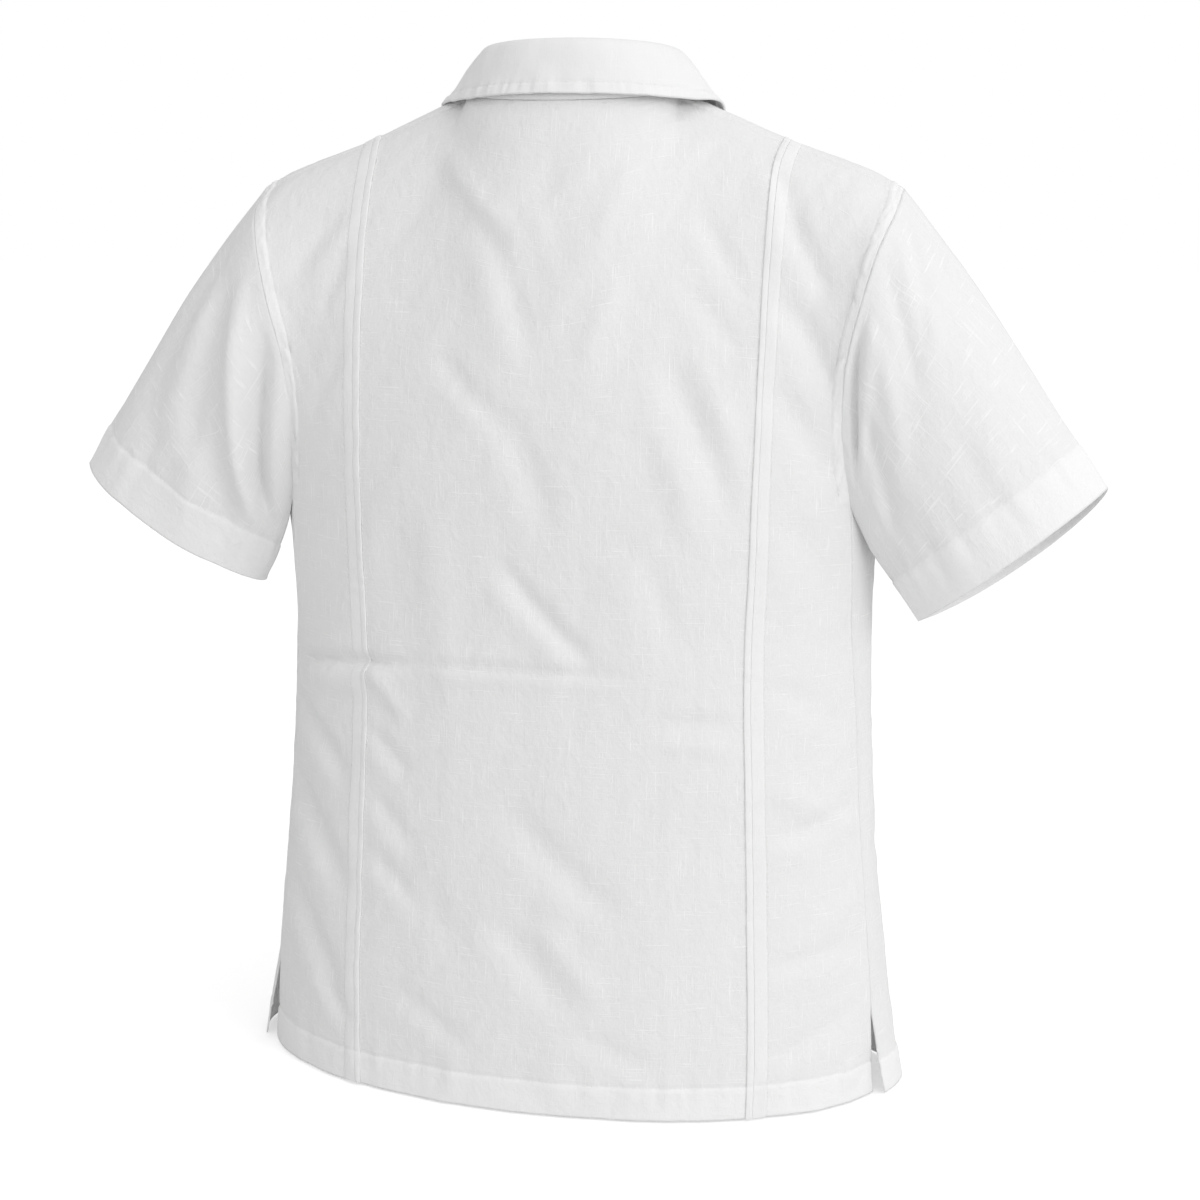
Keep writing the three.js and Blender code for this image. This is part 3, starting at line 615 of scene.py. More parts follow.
for side, name in ((1, "left"), (-1, "right")):
    inner = spans((-OVERLAP_SHARE, 0.07, 16), (0.07, TUCK_SHARE, 38), (TUCK_SHARE, 0.93, 28), (0.93, 1, 14))
    shares = inner if side > 0 else -inner[::-1]
    grid = front_point(side, shares[None, :], HEIGHTS[:, None])
    doubled = doubled_body("front", side * shares, HEIGHTS)
    made[f"front_{name}"] = thicken(cloth_mesh(f"front_{name}_cloth", grid, doubled=doubled))
    print(f"front_{name}:", triangles(made[f"front_{name}"]), "triangles")

# %% [markdown]
# ## The tucks
#
# Each tuck is a fold of cloth pressed flat and stitched: a narrow pin tuck and a wider band
# beside it, running from shoulder to hem. They lie on the panel, so their points are the
# panel's own points moved out, with a rounded top and the same small puckers across.

# %% The tucks
TUCK = {"pin": 0.005, "pin_thick": 0.0011, "band": 0.0095, "band_thick": 0.0007, "between": 0.0001, "left_shift": -0.007}
RIM = np.array([0, 0.04, 0.16, 0.5, 0.84, 0.96, 1])
RISE = {"pin": np.array([0.3, 0.85, 1, 1, 0.9, 0.7, 0.5]), "band": np.array([0.75, 0.9, 0.95, 0.9, 0.7, 0.45, 0.1])}


def tuck_strip(name, kind, face, side, start, seed):
    """One strip; it starts some way outside the tuck line and lies on the panel."""
    wide, thick = TUCK[kind], TUCK[f"{kind}_thick"]
    surface = (lambda s, h, out: front_point(side, s, h, out)) if face == "front" else (
        lambda s, h, out: body_point("back", s, h, out))
    heights = spans((0.0006, HEM_TOP, 18), (HEM_TOP, 1, 150), (1, 1.985, 90))[:, None]
    scale = body_frame(face, side * TUCK_SHARE + 0 * heights, heights)[2]
    share = lambda distance: side * (TUCK_SHARE + distance / scale)
    along = heights * 0.45
    lean = 0.0003 * soft_noise(along, 0 * along, (0.05, 1), seed)
    ripple = 1 + 0.45 * pucker(along, 0.0055, seed + 1)
    under = WALL / 2 + 0.0001
    top = surface(share(start + lean + RIM * wide), heights + 0 * RIM, under + thick * RISE[kind] * ripple)
    low = surface(share(start + lean + RIM[::-1] * wide), heights + 0 * RIM, under)
    ring = np.concatenate([top, low], axis=1)
    return cloth_mesh(name, ring, around=True, turned=(face == "back") == (side > 0))


for face in ("back", "front"):
    for side, name in ((1, "left"), (-1, "right")):
        start = TUCK["left_shift"] if face == "back" and side > 0 else 0
        seed = 40 + 4 * side + (face == "front")
        node = f"tuck_pin_{face}_{name}"
        made[node] = tuck_strip(f"{node}_cloth", "pin", face, side, start, seed)
        start += TUCK["pin"] + TUCK["between"]
        node = f"tuck_band_{face}_{name}"
        made[node] = tuck_strip(f"{node}_cloth", "band", face, side, start, seed)
print("8 strips,", triangles(made["tuck_band_back_left"]), "triangles in one band")

# %% [markdown]
# ## The sleeves
#
# Each sleeve starts on the armhole line and ends on an oval hem ring, deeper at the front.
# Its crown is a little full on the shoulder and its underside sags. Round the sleeve, 0 is
# the top, 0.5 the underarm, and the back comes first. Folds fan out from the armhole, and
# the wide turned-up hem is stitched all round.

# %% The sleeves
SLEEVES = {
    1: {"top": (0.394, 0, -0.282), "under": (0.2505, 0, -0.371), "back": 0.05, "front": 0.065, "droop": 0.010,
        "crown": 0.12, "sag": 0.25},
    -1: {"top": (0.390, 0, -0.2785), "under": (0.2611, 0, -0.3794), "back": 0.05, "front": 0.065, "droop": 0.017,
         "crown": 0.07, "sag": 0.2},
}
HEM_PINCH = 1.25
SLEEVE_FOLDS = {
    1: table(
        "round0 along0 round1 along1 deep wide bow",
        (0.25, 0.00, 0.45, 0.66, 0.0150, 0.0150, -0.004),
        (0.14, 0.00, 0.42, 0.76, -0.0060, 0.0120, 0.000),
        (0.13, 0.12, 0.25, 0.72, 0.0055, 0.0110, 0.004),
        (0.07, 0.05, 0.13, 0.80, 0.0030, 0.0130, 0.004),
        (0.24, 0.55, 0.30, 1.08, -0.0034, 0.0120, 0.003),
        (0.16, 0.60, 0.20, 1.12, 0.0034, 0.0110, 0.003),
        (0.33, 0.62, 0.37, 1.12, 0.0030, 0.0100, 0.002),
        (0.62, 0.05, 0.66, 0.70, 0.0040, 0.016, 0.004),
        (0.76, 0.03, 0.78, 0.55, 0.0044, 0.015, 0.004),
        (0.88, 0.05, 0.86, 0.65, 0.0030, 0.014, 0.003),
    ),
    -1: table(
        "round0 along0 round1 along1 deep wide bow",
        (0.20, -0.02, 0.43, 0.20, 0.0075, 0.0110, 0.002),
        (0.30, 0.10, 0.38, 0.62, 0.0030, 0.0100, 0.003),
        (0.22, 0.10, 0.30, 0.50, -0.0026, 0.0100, 0.002),
        (0.03, -0.02, 0.18, 0.34, 0.0026, 0.0080, 0.002),
        (0.08, -0.02, 0.16, 0.38, -0.0022, 0.0080, 0.002),
        (0.13, 0.00, 0.22, 0.40, 0.0022, 0.0080, 0.002),
        (0.02, 0.10, 0.08, 0.70, 0.0016, 0.0100, 0.002),
        (0.20, 0.50, 0.24, 1.10, 0.0018, 0.0100, 0.002),
        (0.64, 0.05, 0.68, 0.66, 0.0040, 0.015, 0.004),
        (0.78, 0.03, 0.77, 0.52, 0.0040, 0.014, 0.004),
        (0.90, 0.05, 0.88, 0.60, 0.0028, 0.014, 0.003),
    ),
}


def armhole_point(side, turn):
    edge = side + 0 * turn
    back = body_point("back", edge, 2 - 2 * np.minimum(turn, 0.5))
    front = front_point(side, edge, 2 * np.maximum(turn, 0.5))
    return np.where((turn <= 0.5)[..., None], back, front)


def sleeve_point(side, turn, t):
    sleeve = SLEEVES[side]
    turn = np.mod(turn, 1)
    mirror = np.array([side, 1, 1])
    top, under = np.array(sleeve["top"]) * mirror, np.array(sleeve["under"]) * mirror
    angle = 2 * np.pi * turn
    across = unit(top - under)
    axis = np.array([across[2] * side, 0, -across[0] * side])
    above = np.array([-axis[2] * side, 0, axis[0] * side])
    deep = np.sign(np.sin(angle)) * np.abs(np.sin(angle)) ** HEM_PINCH
    reach = deep * np.where(deep > 0, sleeve["back"], sleeve["front"])
    hem = (top + under) / 2 + (top - under) * np.cos(angle)[..., None] / 2
    hem = hem + stack(0, reach, 0) + axis * (np.maximum(-deep, 0) * sleeve["droop"])[..., None]
    start = armhole_point(side, turn)
    chord = hem - start
    away = above * np.cos(angle)[..., None] + stack(0, np.sin(angle), 0)
    low = (1 - np.cos(angle)) / 2
    full = np.linalg.norm(chord, axis=-1) * (sleeve["crown"] + (sleeve["sag"] - sleeve["crown"]) * low**8)
    pull = away * full[..., None]
    return pulled(t, start, chord + pull, chord - pull / 4, hem)


ROUNDS, ALONG = 150, spans((0, 0.08, 7), (0.08, 0.78, 48), (0.78, 1, 26))


def sleeve_cloth(side, turns, along, out=0.0):
    """The sleeve's cloth at a grid of places; its relief uses metres round and along it."""
    reach = 0.004
    plain = sleeve_point(side, turns, along)
    across = sleeve_point(side, turns + reach, along) - sleeve_point(side, turns - reach, along)
    inner = np.clip(along, reach, 1)
    rising = sleeve_point(side, turns, inner) - sleeve_point(side, turns, inner - reach)
    normal = unit(np.cross(rising, across)) * side
    long = np.linalg.norm(rising, axis=-1) / reach
    from_hem, u = (1 - along) * long, turns * 0.40
    folds = SLEEVE_FOLDS[side]
    fold_rows = {"x0": folds["round0"] * 0.4, "z0": folds["along0"] * 0.26, "x1": folds["round1"] * 0.4,
                 "z1": folds["along1"] * 0.26, "deep": folds["deep"], "wide": folds["wide"], "bow": folds["bow"]}
    start = smooth(along, 0, 0.06)
    push = -fold_field(fold_rows, u, along * 0.26) * start * (0.35 + 0.65 * smooth(from_hem, 0, 0.05))
    push += 0.0008 * soft_noise(u, along * 0.26, (0.03, 0.05), 70 + side) * start
    push += band(from_hem, SLEEVE_BAND, u, 74 + side, apart=0.015, ripple=0.0018)
    push += 0.0007 * hill(along * long, 0.003) * (1 + pucker(u, 0.007, 78 + side)) * start
    return plain + normal * (push + out)[..., None]


for side, name in ((1, "left"), (-1, "right")):
    turns = np.arange(ROUNDS) / ROUNDS
    grid = sleeve_cloth(side, turns[None, :] + 0 * ALONG[:, None], ALONG[:, None] + 0 * turns[None, :])
    long = np.linalg.norm(grid[-1] - grid[-10], axis=-1) / (1 - ALONG[-10])
    doubled = within((1 - ALONG)[:, None] * long[None, :], SLEEVE_BAND)
    piece = cloth_mesh(f"sleeve_{name}_cloth", grid, around=True, turned=side > 0, doubled=doubled)
    made[f"sleeve_{name}"] = thicken(piece)
    print(f"sleeve_{name}:", triangles(made[f"sleeve_{name}"]), "triangles")

# %% [markdown]
# ## The collar
#
# The stand is the upright band sewn to the neckline, and the leaf is the part that falls
# over it. The leaf starts on the fold line and bows out before it comes down on the
# shoulders, so the fold is round and soft. A line of stitching 8 mm inside its edge pulls
# the edge into small, regular puckers, strongest on the left.

# %% The collar
COLLAR_ENDS = 177
LEAF_WALL = 0.0016
STAND_WALL = 0.0020
FOLD = {"x": -0.004, "half": 0.067, "y": -0.002, "back_y": 0.055, "front_y": -0.070, "z": 0.030, "back_z": 0.033,
        "front_z": -0.032}
LEAF_SHIFT = -0.0035
LEAF_EDGE = table(
    "turn x y z",
    (-25, -0.037, 0.0632, -0.0054),
    (0, 0, 0.069, -0.005),
    (25, 0.037, 0.0632, -0.0054),
    (50, 0.0665, 0.0478, -0.0064),
    (70, 0.0885, 0.023, -0.007),
    (90, 0.104, 0.0032, -0.0084),
    (112, 0.1045, -0.0155, -0.022),
    (134, 0.0985, -0.036, -0.0455),
    (156, 0.079, -0.057, -0.069),
    (COLLAR_ENDS, 0.050, -0.0825, -0.087),
)


def fold_point(turn):
    c = np.cos(np.radians(turn))
    x = FOLD["half"] * np.sin(np.radians(turn)) + FOLD["x"]
    behind = stack(x, FOLD["y"] + (FOLD["back_y"] - FOLD["y"]) * c, FOLD["z"] + (FOLD["back_z"] - FOLD["z"]) * c)
    dip = np.maximum(-c, 0) ** 1.4
    ahead = stack(x, FOLD["y"] + (FOLD["y"] - FOLD["front_y"]) * c, FOLD["z"] + (FOLD["front_z"] - FOLD["z"]) * dip)
    return np.where((c > 0)[..., None], behind, ahead)


def neckline_point(turn):
    around = np.abs(turn)
    share = np.where(around < 90, around, 180 - around) / 90 * NECK_SHARE * np.where(turn < 0, -1, 1)
    return np.where((around < 90)[..., None], top_point("back", share), top_point("front", share))


def leaf_edge(turn):
    around = np.abs(turn)
    edge = place(LEAF_EDGE, "turn", around)
    edge[..., 0] = np.where(turn < 0, -1, 1) * edge[..., 0] + LEAF_SHIFT * (1 - smooth(around, 90, 140))
    return edge


def stand_point(turn, t):
    foot = neckline_point(turn) + np.array([0, 0, 0.0006])
    steep = smooth(np.abs(turn), 85, 120)
    head = fold_point(turn) + stack(0, 0, -LEAF_WALL / 2 - 0.0013 - 0.0035 * steep)
    return foot + (head - foot) * np.asarray(t)[..., None]


def leaf_point(turn, t):
    start, end = fold_point(turn), leaf_edge(turn)
    front = smooth(np.abs(turn), 90, 130)
    radial = stack(np.sin(np.radians(turn)), np.cos(np.radians(turn)), 0)
    out = radial * (0.030 + 0.020 * front)[..., None] + stack(0, 0, 0.004 + 0.010 * front)
    return pulled(t, start, out, (end - start) * (1.1 - 0.4 * front)[..., None], end)


def leaf_cloth(turn, t, out=0.0):
    turn, t = np.broadcast_arrays(np.asarray(turn, float), np.asarray(t, float))
    reach, inner = 0.01, np.clip(t, 0.02, 0.98)
    across = leaf_point(turn + 1, inner) - leaf_point(turn - 1, inner)
    falling = leaf_point(turn, inner + reach) - leaf_point(turn, inner - reach)
    normal = unit(np.cross(across, falling))
    long = np.linalg.norm(falling, axis=-1) / (2 * reach)
    from_edge = (1 - t) * long
    girth = turn * 0.0017
    strong = 0.35 + 0.65 * smooth(turn, -70, 10)
    push = 0.0005 * smooth(from_edge, 0.0095, 0.0075) - 0.0006 * hill(from_edge - 0.0085, 0.0012)
    push = push + 0.0012 * pucker(girth, 0.0075, 90) * hill(from_edge - 0.006, 0.0055) * strong
    push = push + 0.0006 * soft_noise(girth, from_edge, (0.018, 0.014), 92) * smooth(t, 0, 0.3)
    return leaf_point(turn, t) + normal * (push + out)[..., None]


turns = np.linspace(-COLLAR_ENDS, COLLAR_ENDS, 320)
falls = spans((0, 0.5, 16), (0.5, 1, 24))
made["collar_leaf"] = thicken(cloth_mesh("collar_leaf_cloth", leaf_cloth(turns[None, :], falls[:, None])), LEAF_WALL)
stands = np.linspace(0, 1, 12)
stand_grid = stand_point(turns[None, ::2] + 0 * stands[:, None], stands[:, None] + 0 * turns[None, ::2])
made["collar_stand"] = thicken(cloth_mesh("collar_stand_cloth", stand_grid), STAND_WALL)
print("collar:", triangles(made["collar_leaf"]) + triangles(made["collar_stand"]), "triangles")

# %% [markdown]
# ## Stitches
#
# Seen close, a stitched line is a row of short threads. Geometry Nodes suit this: the tree
# below takes a mesh of plain edges, turns it into curves, drops a point every stitch
# length, and puts one small round-ended thread on each, turned along the line. Its inputs
# are the stitch's pitch, length and thickness.

# %% The stitch tree
def stitch_tree(thread):
    tree = bpy.data.node_groups.new("stitches along seams", "GeometryNodeTree")
    face = tree.interface
    face.new_socket("Geometry", in_out="INPUT", socket_type="NodeSocketGeometry")
    for name, value in (("Pitch", 0.0032), ("Length", 0.0023), ("Thickness", 0.00042)):
        face.new_socket(name, in_out="INPUT", socket_type="NodeSocketFloat").default_value = value
    face.new_socket("Geometry", in_out="OUTPUT", socket_type="NodeSocketGeometry")
    add, link = tree.nodes.new, tree.links.new
    sizes = add("NodeGroupInput")
    curve = add("GeometryNodeMeshToCurve")
    link(sizes.outputs["Geometry"], curve.inputs["Mesh"])
    spaced = add("GeometryNodeResampleCurve")
    spaced.mode = "LENGTH"
    link(curve.outputs[0], spaced.inputs["Curve"])
    link(sizes.outputs["Pitch"], spaced.inputs["Length"])
    tangent = add("GeometryNodeInputTangent")
    turn = add("FunctionNodeAlignRotationToVector")
    turn.axis = "Z"
    link(tangent.outputs[0], turn.inputs["Vector"])
    bead = add("GeometryNodeMeshIcoSphere")
    bead.inputs["Subdivisions"].default_value = 1
    bead.inputs["Radius"].default_value = 0.5
    shape = add("ShaderNodeCombineXYZ")
    link(sizes.outputs["Thickness"], shape.inputs["X"])
    link(sizes.outputs["Thickness"], shape.inputs["Y"])
    link(sizes.outputs["Length"], shape.inputs["Z"])
    sown = add("GeometryNodeInstanceOnPoints")
    link(spaced.outputs[0], sown.inputs["Points"])
    link(bead.outputs["Mesh"], sown.inputs["Instance"])
    link(turn.outputs[0], sown.inputs["Rotation"])
    link(shape.outputs[0], sown.inputs["Scale"])
    real = add("GeometryNodeRealizeInstances")
    link(sown.outputs[0], real.inputs[0])
    finish = add("GeometryNodeSetMaterial")
    finish.inputs["Material"].default_value = thread
    link(real.outputs[0], finish.inputs["Geometry"])
    result = add("NodeGroupOutput")
    link(finish.outputs[0], result.inputs["Geometry"])
    return tree


def grow(name, points_of_lines, tree, **sizes):
    """Runs a tree on a mesh of lines and keeps the result as a plain mesh."""
    points, edges = [], []
    for line in points_of_lines:
        first = len(points)
        points += [tuple(p) for p in line]
        edges += [(first + i, first + i + 1) for i in range(len(line) - 1)]
    mesh = bpy.data.meshes.new(name)
    mesh.from_pydata(points, edges, [])
    piece = bpy.data.objects.new(name, mesh)
    bpy.context.scene.collection.objects.link(piece)
    grown = piece.modifiers.new("grown", "NODES")
    grown.node_group = tree
    ids = {item.name: item.identifier for item in tree.interface.items_tree if item.in_out == "INPUT"}
    for size, value in sizes.items():
        grown[ids[size]] = value
    shown = piece.evaluated_get(bpy.context.evaluated_depsgraph_get())
    final = bpy.data.meshes.new_from_object(shown)
    piece.modifiers.remove(grown)
    piece.data = final
    return piece


# %% [markdown]
# ## Finishes
#
# The cloth is a white cotton and linen weave. Three effects make it: the fine over-and-
# under of the threads, slubs, which are thick places in the yarn that catch the light as
# short bright lines both ways, and a fine crinkle left by wearing and ironing. Each effect
# is a node group with its own inputs, so the cloth, the tucks and the collar can share
# them with different values.

# %% Node group helpers
def new_group(name, inputs, outputs):
    tree = bpy.data.node_groups.new(name, "ShaderNodeTree")
    for label, kind, value in inputs:
        socket = tree.interface.new_socket(label, in_out="INPUT", socket_type=kind)
        if value is not None:
            socket.default_value = value
    for label, kind in outputs:
        tree.interface.new_socket(label, in_out="OUTPUT", socket_type=kind)
    return tree, tree.nodes.new("NodeGroupInput"), tree.nodes.new("NodeGroupOutput")


def maths(tree, operation, first, second=None, clamped=False):
    node = tree.nodes.new("ShaderNodeMath")
    node.operation = operation
    node.use_clamp = clamped
    for socket, value in zip(node.inputs, (first, second)):
        if isinstance(value, (int, float)):
            socket.default_value = value
        elif value is not None:
            tree.links.new(value, socket)
    return node.outputs[0]


def scaled_noise(tree, vector, scale, detail=2.0, rough=0.5):
    mapping = tree.nodes.new("ShaderNodeMapping")
    mapping.inputs["Scale"].default_value = scale
    tree.links.new(vector, mapping.inputs["Vector"])
    noise = tree.nodes.new("ShaderNodeTexNoise")
    noise.inputs["Scale"].default_value = 1
    noise.inputs["Detail"].default_value = detail
    noise.inputs["Roughness"].default_value = rough
    tree.links.new(mapping.outputs[0], noise.inputs["Vector"])
    return noise.outputs["Fac"]


def stepped(tree, value, low, high):
    node = tree.nodes.new("ShaderNodeMapRange")
    node.interpolation_type = "SMOOTHSTEP"
    node.inputs["From Min"].default_value = low
    node.inputs["From Max"].default_value = high
    tree.links.new(value, node.inputs["Value"])
    return node.outputs["Result"]


# %% The weave, slub and crinkle groups
def slub_group():
    """Thick places in the yarn: short bright lines along and across the cloth."""
    tree, given, result = new_group(
        "slubs", [("Vector", "NodeSocketVector", None), ("Across", "NodeSocketFloat", 1.0)],
        [("Mask", "NodeSocketFloat")])
    along = stepped(tree, scaled_noise(tree, given.outputs["Vector"], (820, 34, 1)), 0.58, 0.72)
    crossing = stepped(tree, scaled_noise(tree, given.outputs["Vector"], (30, 800, 1)), 0.59, 0.73)
    mask = maths(tree, "MAXIMUM", along, maths(tree, "MULTIPLY", crossing, given.outputs["Across"]))
    tree.links.new(mask, result.inputs["Mask"])
    return tree


def weave_group():
    """The threads themselves, as a height from 0 to 1."""
    tree, given, result = new_group(
        "weave", [("Vector", "NodeSocketVector", None), ("Threads", "NodeSocketFloat", 5600.0)],
        [("Height", "NodeSocketFloat")])
    parts = tree.nodes.new("ShaderNodeSeparateXYZ")
    tree.links.new(given.outputs["Vector"], parts.inputs[0])
    across = maths(tree, "SINE", maths(tree, "MULTIPLY", parts.outputs["X"], given.outputs["Threads"]))
    along = maths(tree, "SINE", maths(tree, "MULTIPLY", parts.outputs["Y"], given.outputs["Threads"]))
    height = maths(tree, "MULTIPLY", across, along)
    tree.links.new(maths(tree, "MULTIPLY_ADD", height, 0.5), result.inputs["Height"])
    return tree


def crinkle_group():
    """The small creases of worn, ironed cotton, as a height."""
    tree, given, result = new_group(
        "crinkle", [("Vector", "NodeSocketVector", None)], [("Height", "NodeSocketFloat")])
    broad = scaled_noise(tree, given.outputs["Vector"], (55, 38, 40), 5.0, 0.55)
    folded = maths(tree, "ABSOLUTE", maths(tree, "SUBTRACT", broad, 0.5))
    fine = scaled_noise(tree, given.outputs["Vector"], (260, 200, 200), 3.0, 0.6)
    height = maths(tree, "ADD", maths(tree, "MULTIPLY", folded, -2.2), maths(tree, "MULTIPLY", fine, 0.35))
    tree.links.new(height, result.inputs["Height"])
    return tree


GROUPS = {"slubs": slub_group(), "weave": weave_group(), "crinkle": crinkle_group()}
print("shader groups:", ", ".join(GROUPS))


# %% Cloth, thread and button materials
def use_group(tree, name, vector, **values):
    node = tree.nodes.new("ShaderNodeGroup")
    node.node_tree = GROUPS[name]
    tree.links.new(vector, node.inputs["Vector"])
    for label, value in values.items():
        node.inputs[label].default_value = value
    return node.outputs[0]


def cloth_material(name, base, slub_colour, slub_amount=1.0, across=1.0, crinkle=0.0009):
    material = bpy.data.materials.new(name)
    material.use_nodes = True
    tree = material.node_tree
    shader = tree.nodes["Principled BSDF"]
    shader.inputs["Roughness"].default_value = 0.9
    shader.inputs["Specular IOR Level"].default_value = 0.25
    shader.inputs["Sheen Weight"].default_value = 0.12
    shader.inputs["Sheen Roughness"].default_value = 0.6
    where = tree.nodes.new("ShaderNodeUVMap")
    where.uv_map = "cloth"
    solid = tree.nodes.new("ShaderNodeTexCoord").outputs["Object"]
    slubs = use_group(tree, "slubs", where.outputs["UV"], Across=across)
    weave = use_group(tree, "weave", where.outputs["UV"])
    creases = use_group(tree, "crinkle", solid)
    layers = tree.nodes.new("ShaderNodeAttribute")
    layers.attribute_name = "doubled"
    white = maths(tree, "MAXIMUM", maths(tree, "MULTIPLY", slubs, slub_amount), maths(tree, "MULTIPLY", layers.outputs["Fac"], 0.7))
    colour = tree.nodes.new("ShaderNodeMix")
    colour.data_type = "RGBA"
    colour.inputs["A"].default_value = (*base, 1)
    colour.inputs["B"].default_value = (*slub_colour, 1)
    tree.links.new(white, colour.inputs["Factor"])
    tree.links.new(colour.outputs["Result"], shader.inputs["Base Color"])
    threads = maths(tree, "MULTIPLY", weave, 0.00004)
    thick = maths(tree, "MULTIPLY", slubs, 0.00010)
    height = maths(tree, "ADD", maths(tree, "ADD", threads, thick), maths(tree, "MULTIPLY", creases, crinkle))
    bump = tree.nodes.new("ShaderNodeBump")
    bump.inputs["Distance"].default_value = 1
    bump.inputs["Strength"].default_value = 1
    tree.links.new(height, bump.inputs["Height"])
    tree.links.new(bump.outputs["Normal"], shader.inputs["Normal"])
    return material


CLOTH = cloth_material("white slubbed cotton", (0.83, 0.83, 0.83), (0.91, 0.91, 0.91))
TUCK_CLOTH = cloth_material("tucked cotton", (0.86, 0.86, 0.86), (0.92, 0.92, 0.92), 0.6, 0.3, 0.0004)


def plain_material(name, colour, rough):
    material = bpy.data.materials.new(name)
    material.use_nodes = True
    shader = material.node_tree.nodes["Principled BSDF"]
    shader.inputs["Base Color"].default_value = (*colour, 1)
    shader.inputs["Roughness"].default_value = rough
    return material


THREAD = plain_material("white sewing thread", (0.88, 0.88, 0.87), 0.7)
print("materials:", CLOTH.name, TUCK_CLOTH.name, THREAD.name)

# %% [markdown]
# ## Sewing the lines
#
# Every stitched line is a row of places on the finished cloth, just above its surface: the
# hem, the sleeve hems, the armhole seams, the edges of the tucks, the placket and the
# collar. They all go into one mesh, because they are all one thread.

# %% Sewing the lines
STITCH_OUT = WALL / 2 + 0.00012


def hem_lines():
    level = HEM_BAND / (ARMPIT_Z - HEM_Z)
    lines = [body_point("back", np.linspace(-0.985, 0.985, 260), np.full(260, level), STITCH_OUT)]
    for side in (1, -1):
        shares = side * np.linspace(-0.04 if side > 0 else 0.055, 0.985, 150)
        lines.append(front_point(side, shares, np.full(150, level), STITCH_OUT))
    return lines


def armhole_lines():
    lines = []
    heights = np.linspace(1.03, 1.97, 130)
    for side in (1, -1):
        for face in ("back", "front"):
            wide = body_frame(face, np.full(130, side * 0.97), heights)[2]
            shares = side * (1 - ARMHOLE_BAND / wide)
            spots = body_point("back", shares, heights, STITCH_OUT) if face == "back" else front_point(
                side, shares, heights, STITCH_OUT)
            lines.append(spots)
    return lines


def sleeve_lines():
    turns = np.linspace(0, 1, 240)
    lines = []
    for side in (1, -1):
        start = sleeve_point(side, turns, np.full(240, 0.9))
        tall = np.linalg.norm(sleeve_point(side, turns, np.ones(240)) - start, axis=-1) / 0.1
        lines.append(sleeve_cloth(side, turns, 1 - SLEEVE_BAND / tall, STITCH_OUT))
    return lines


def tuck_lines():
    lines = []
    heights = spans((0.004, 1, 190), (1, 1.97, 110))
    for face in ("back", "front"):
        for side in (1, -1):
            shift = TUCK["left_shift"] if face == "back" and side > 0 else 0
            wide = body_frame(face, np.full(len(heights), side * TUCK_SHARE), heights)[2]
            for distance in (-0.0008, TUCK["pin"] + TUCK["band"] + 0.0012):
                shares = side * (TUCK_SHARE + (shift + distance) / wide)
                spots = body_point("back", shares, heights, STITCH_OUT) if face == "back" else front_point(
                    side, shares, heights, STITCH_OUT)
                lines.append(spots)
    return lines


def placket_lines():
    heights = spans((0.01, 1, 190), (1, 1.98, 110))
    wide = body_frame("front", np.zeros(len(heights)), heights)[2]
    return [front_point(1, -OVERLAP_SHARE + from_edge / wide, heights, STITCH_OUT) for from_edge in (0.003, PLACKET)]


def collar_lines():
    turns = np.linspace(-COLLAR_ENDS + 3, COLLAR_ENDS - 3, 400)
    long = np.linalg.norm(leaf_point(turns, np.full(400, 0.98)) - leaf_point(turns, np.full(400, 0.9)), axis=-1) / 0.08
    return [leaf_cloth(turns, 1 - 0.0085 / long, LEAF_WALL / 2 + 0.0001)]


seam_lines = hem_lines() + armhole_lines() + sleeve_lines() + tuck_lines() + placket_lines() + collar_lines()
stitches = grow("stitches", seam_lines, stitch_tree(THREAD), Pitch=0.0034, Length=0.0024, Thickness=0.0004)
print(len(seam_lines), "lines of stitching,", triangles(stitches), "triangles")

# %% [markdown]
# ## Buttons
#
# Seven small four-hole buttons close the front. One is turned from its profile with a
# raised rim and a dished middle, and four holes are cut with a Boolean modifier. The mesh
# is then copied to each button's place, found from the fitted buttons.

# %% Buttons
BUTTON = {"radius": 0.0055, "thick": 0.0024, "rim": 0.0011, "dish": 0.0008, "bevel": 0.0007}
HOLES = [(0.0011 * i, 0.0011 * j) for i in (-1, 1) for j in (-1, 1)]


def lathe(name, profile, steps):
    angle = np.arange(steps) * 2 * np.pi / steps
    rings = np.array([[(r * math.cos(a), r * math.sin(a), z) for a in angle] for r, z in profile])
    points = [(0, 0, profile[0][1]), *map(tuple, rings.reshape(-1, 3)), (0, 0, profile[-1][1])]
    last = len(points) - 1
    faces = []
    for k in range(steps):
        after = (k + 1) % steps
        faces.append((0, 1 + after, 1 + k))
        faces.append((last, last - steps + k, last - steps + after))
        for ring in range(len(profile) - 1):
            low, high = 1 + ring * steps, 1 + (ring + 1) * steps
            faces.append((low + k, low + after, high + after, high + k))
    mesh = bpy.data.meshes.new(name)
    mesh.from_pydata(points, [], faces)
    return mesh


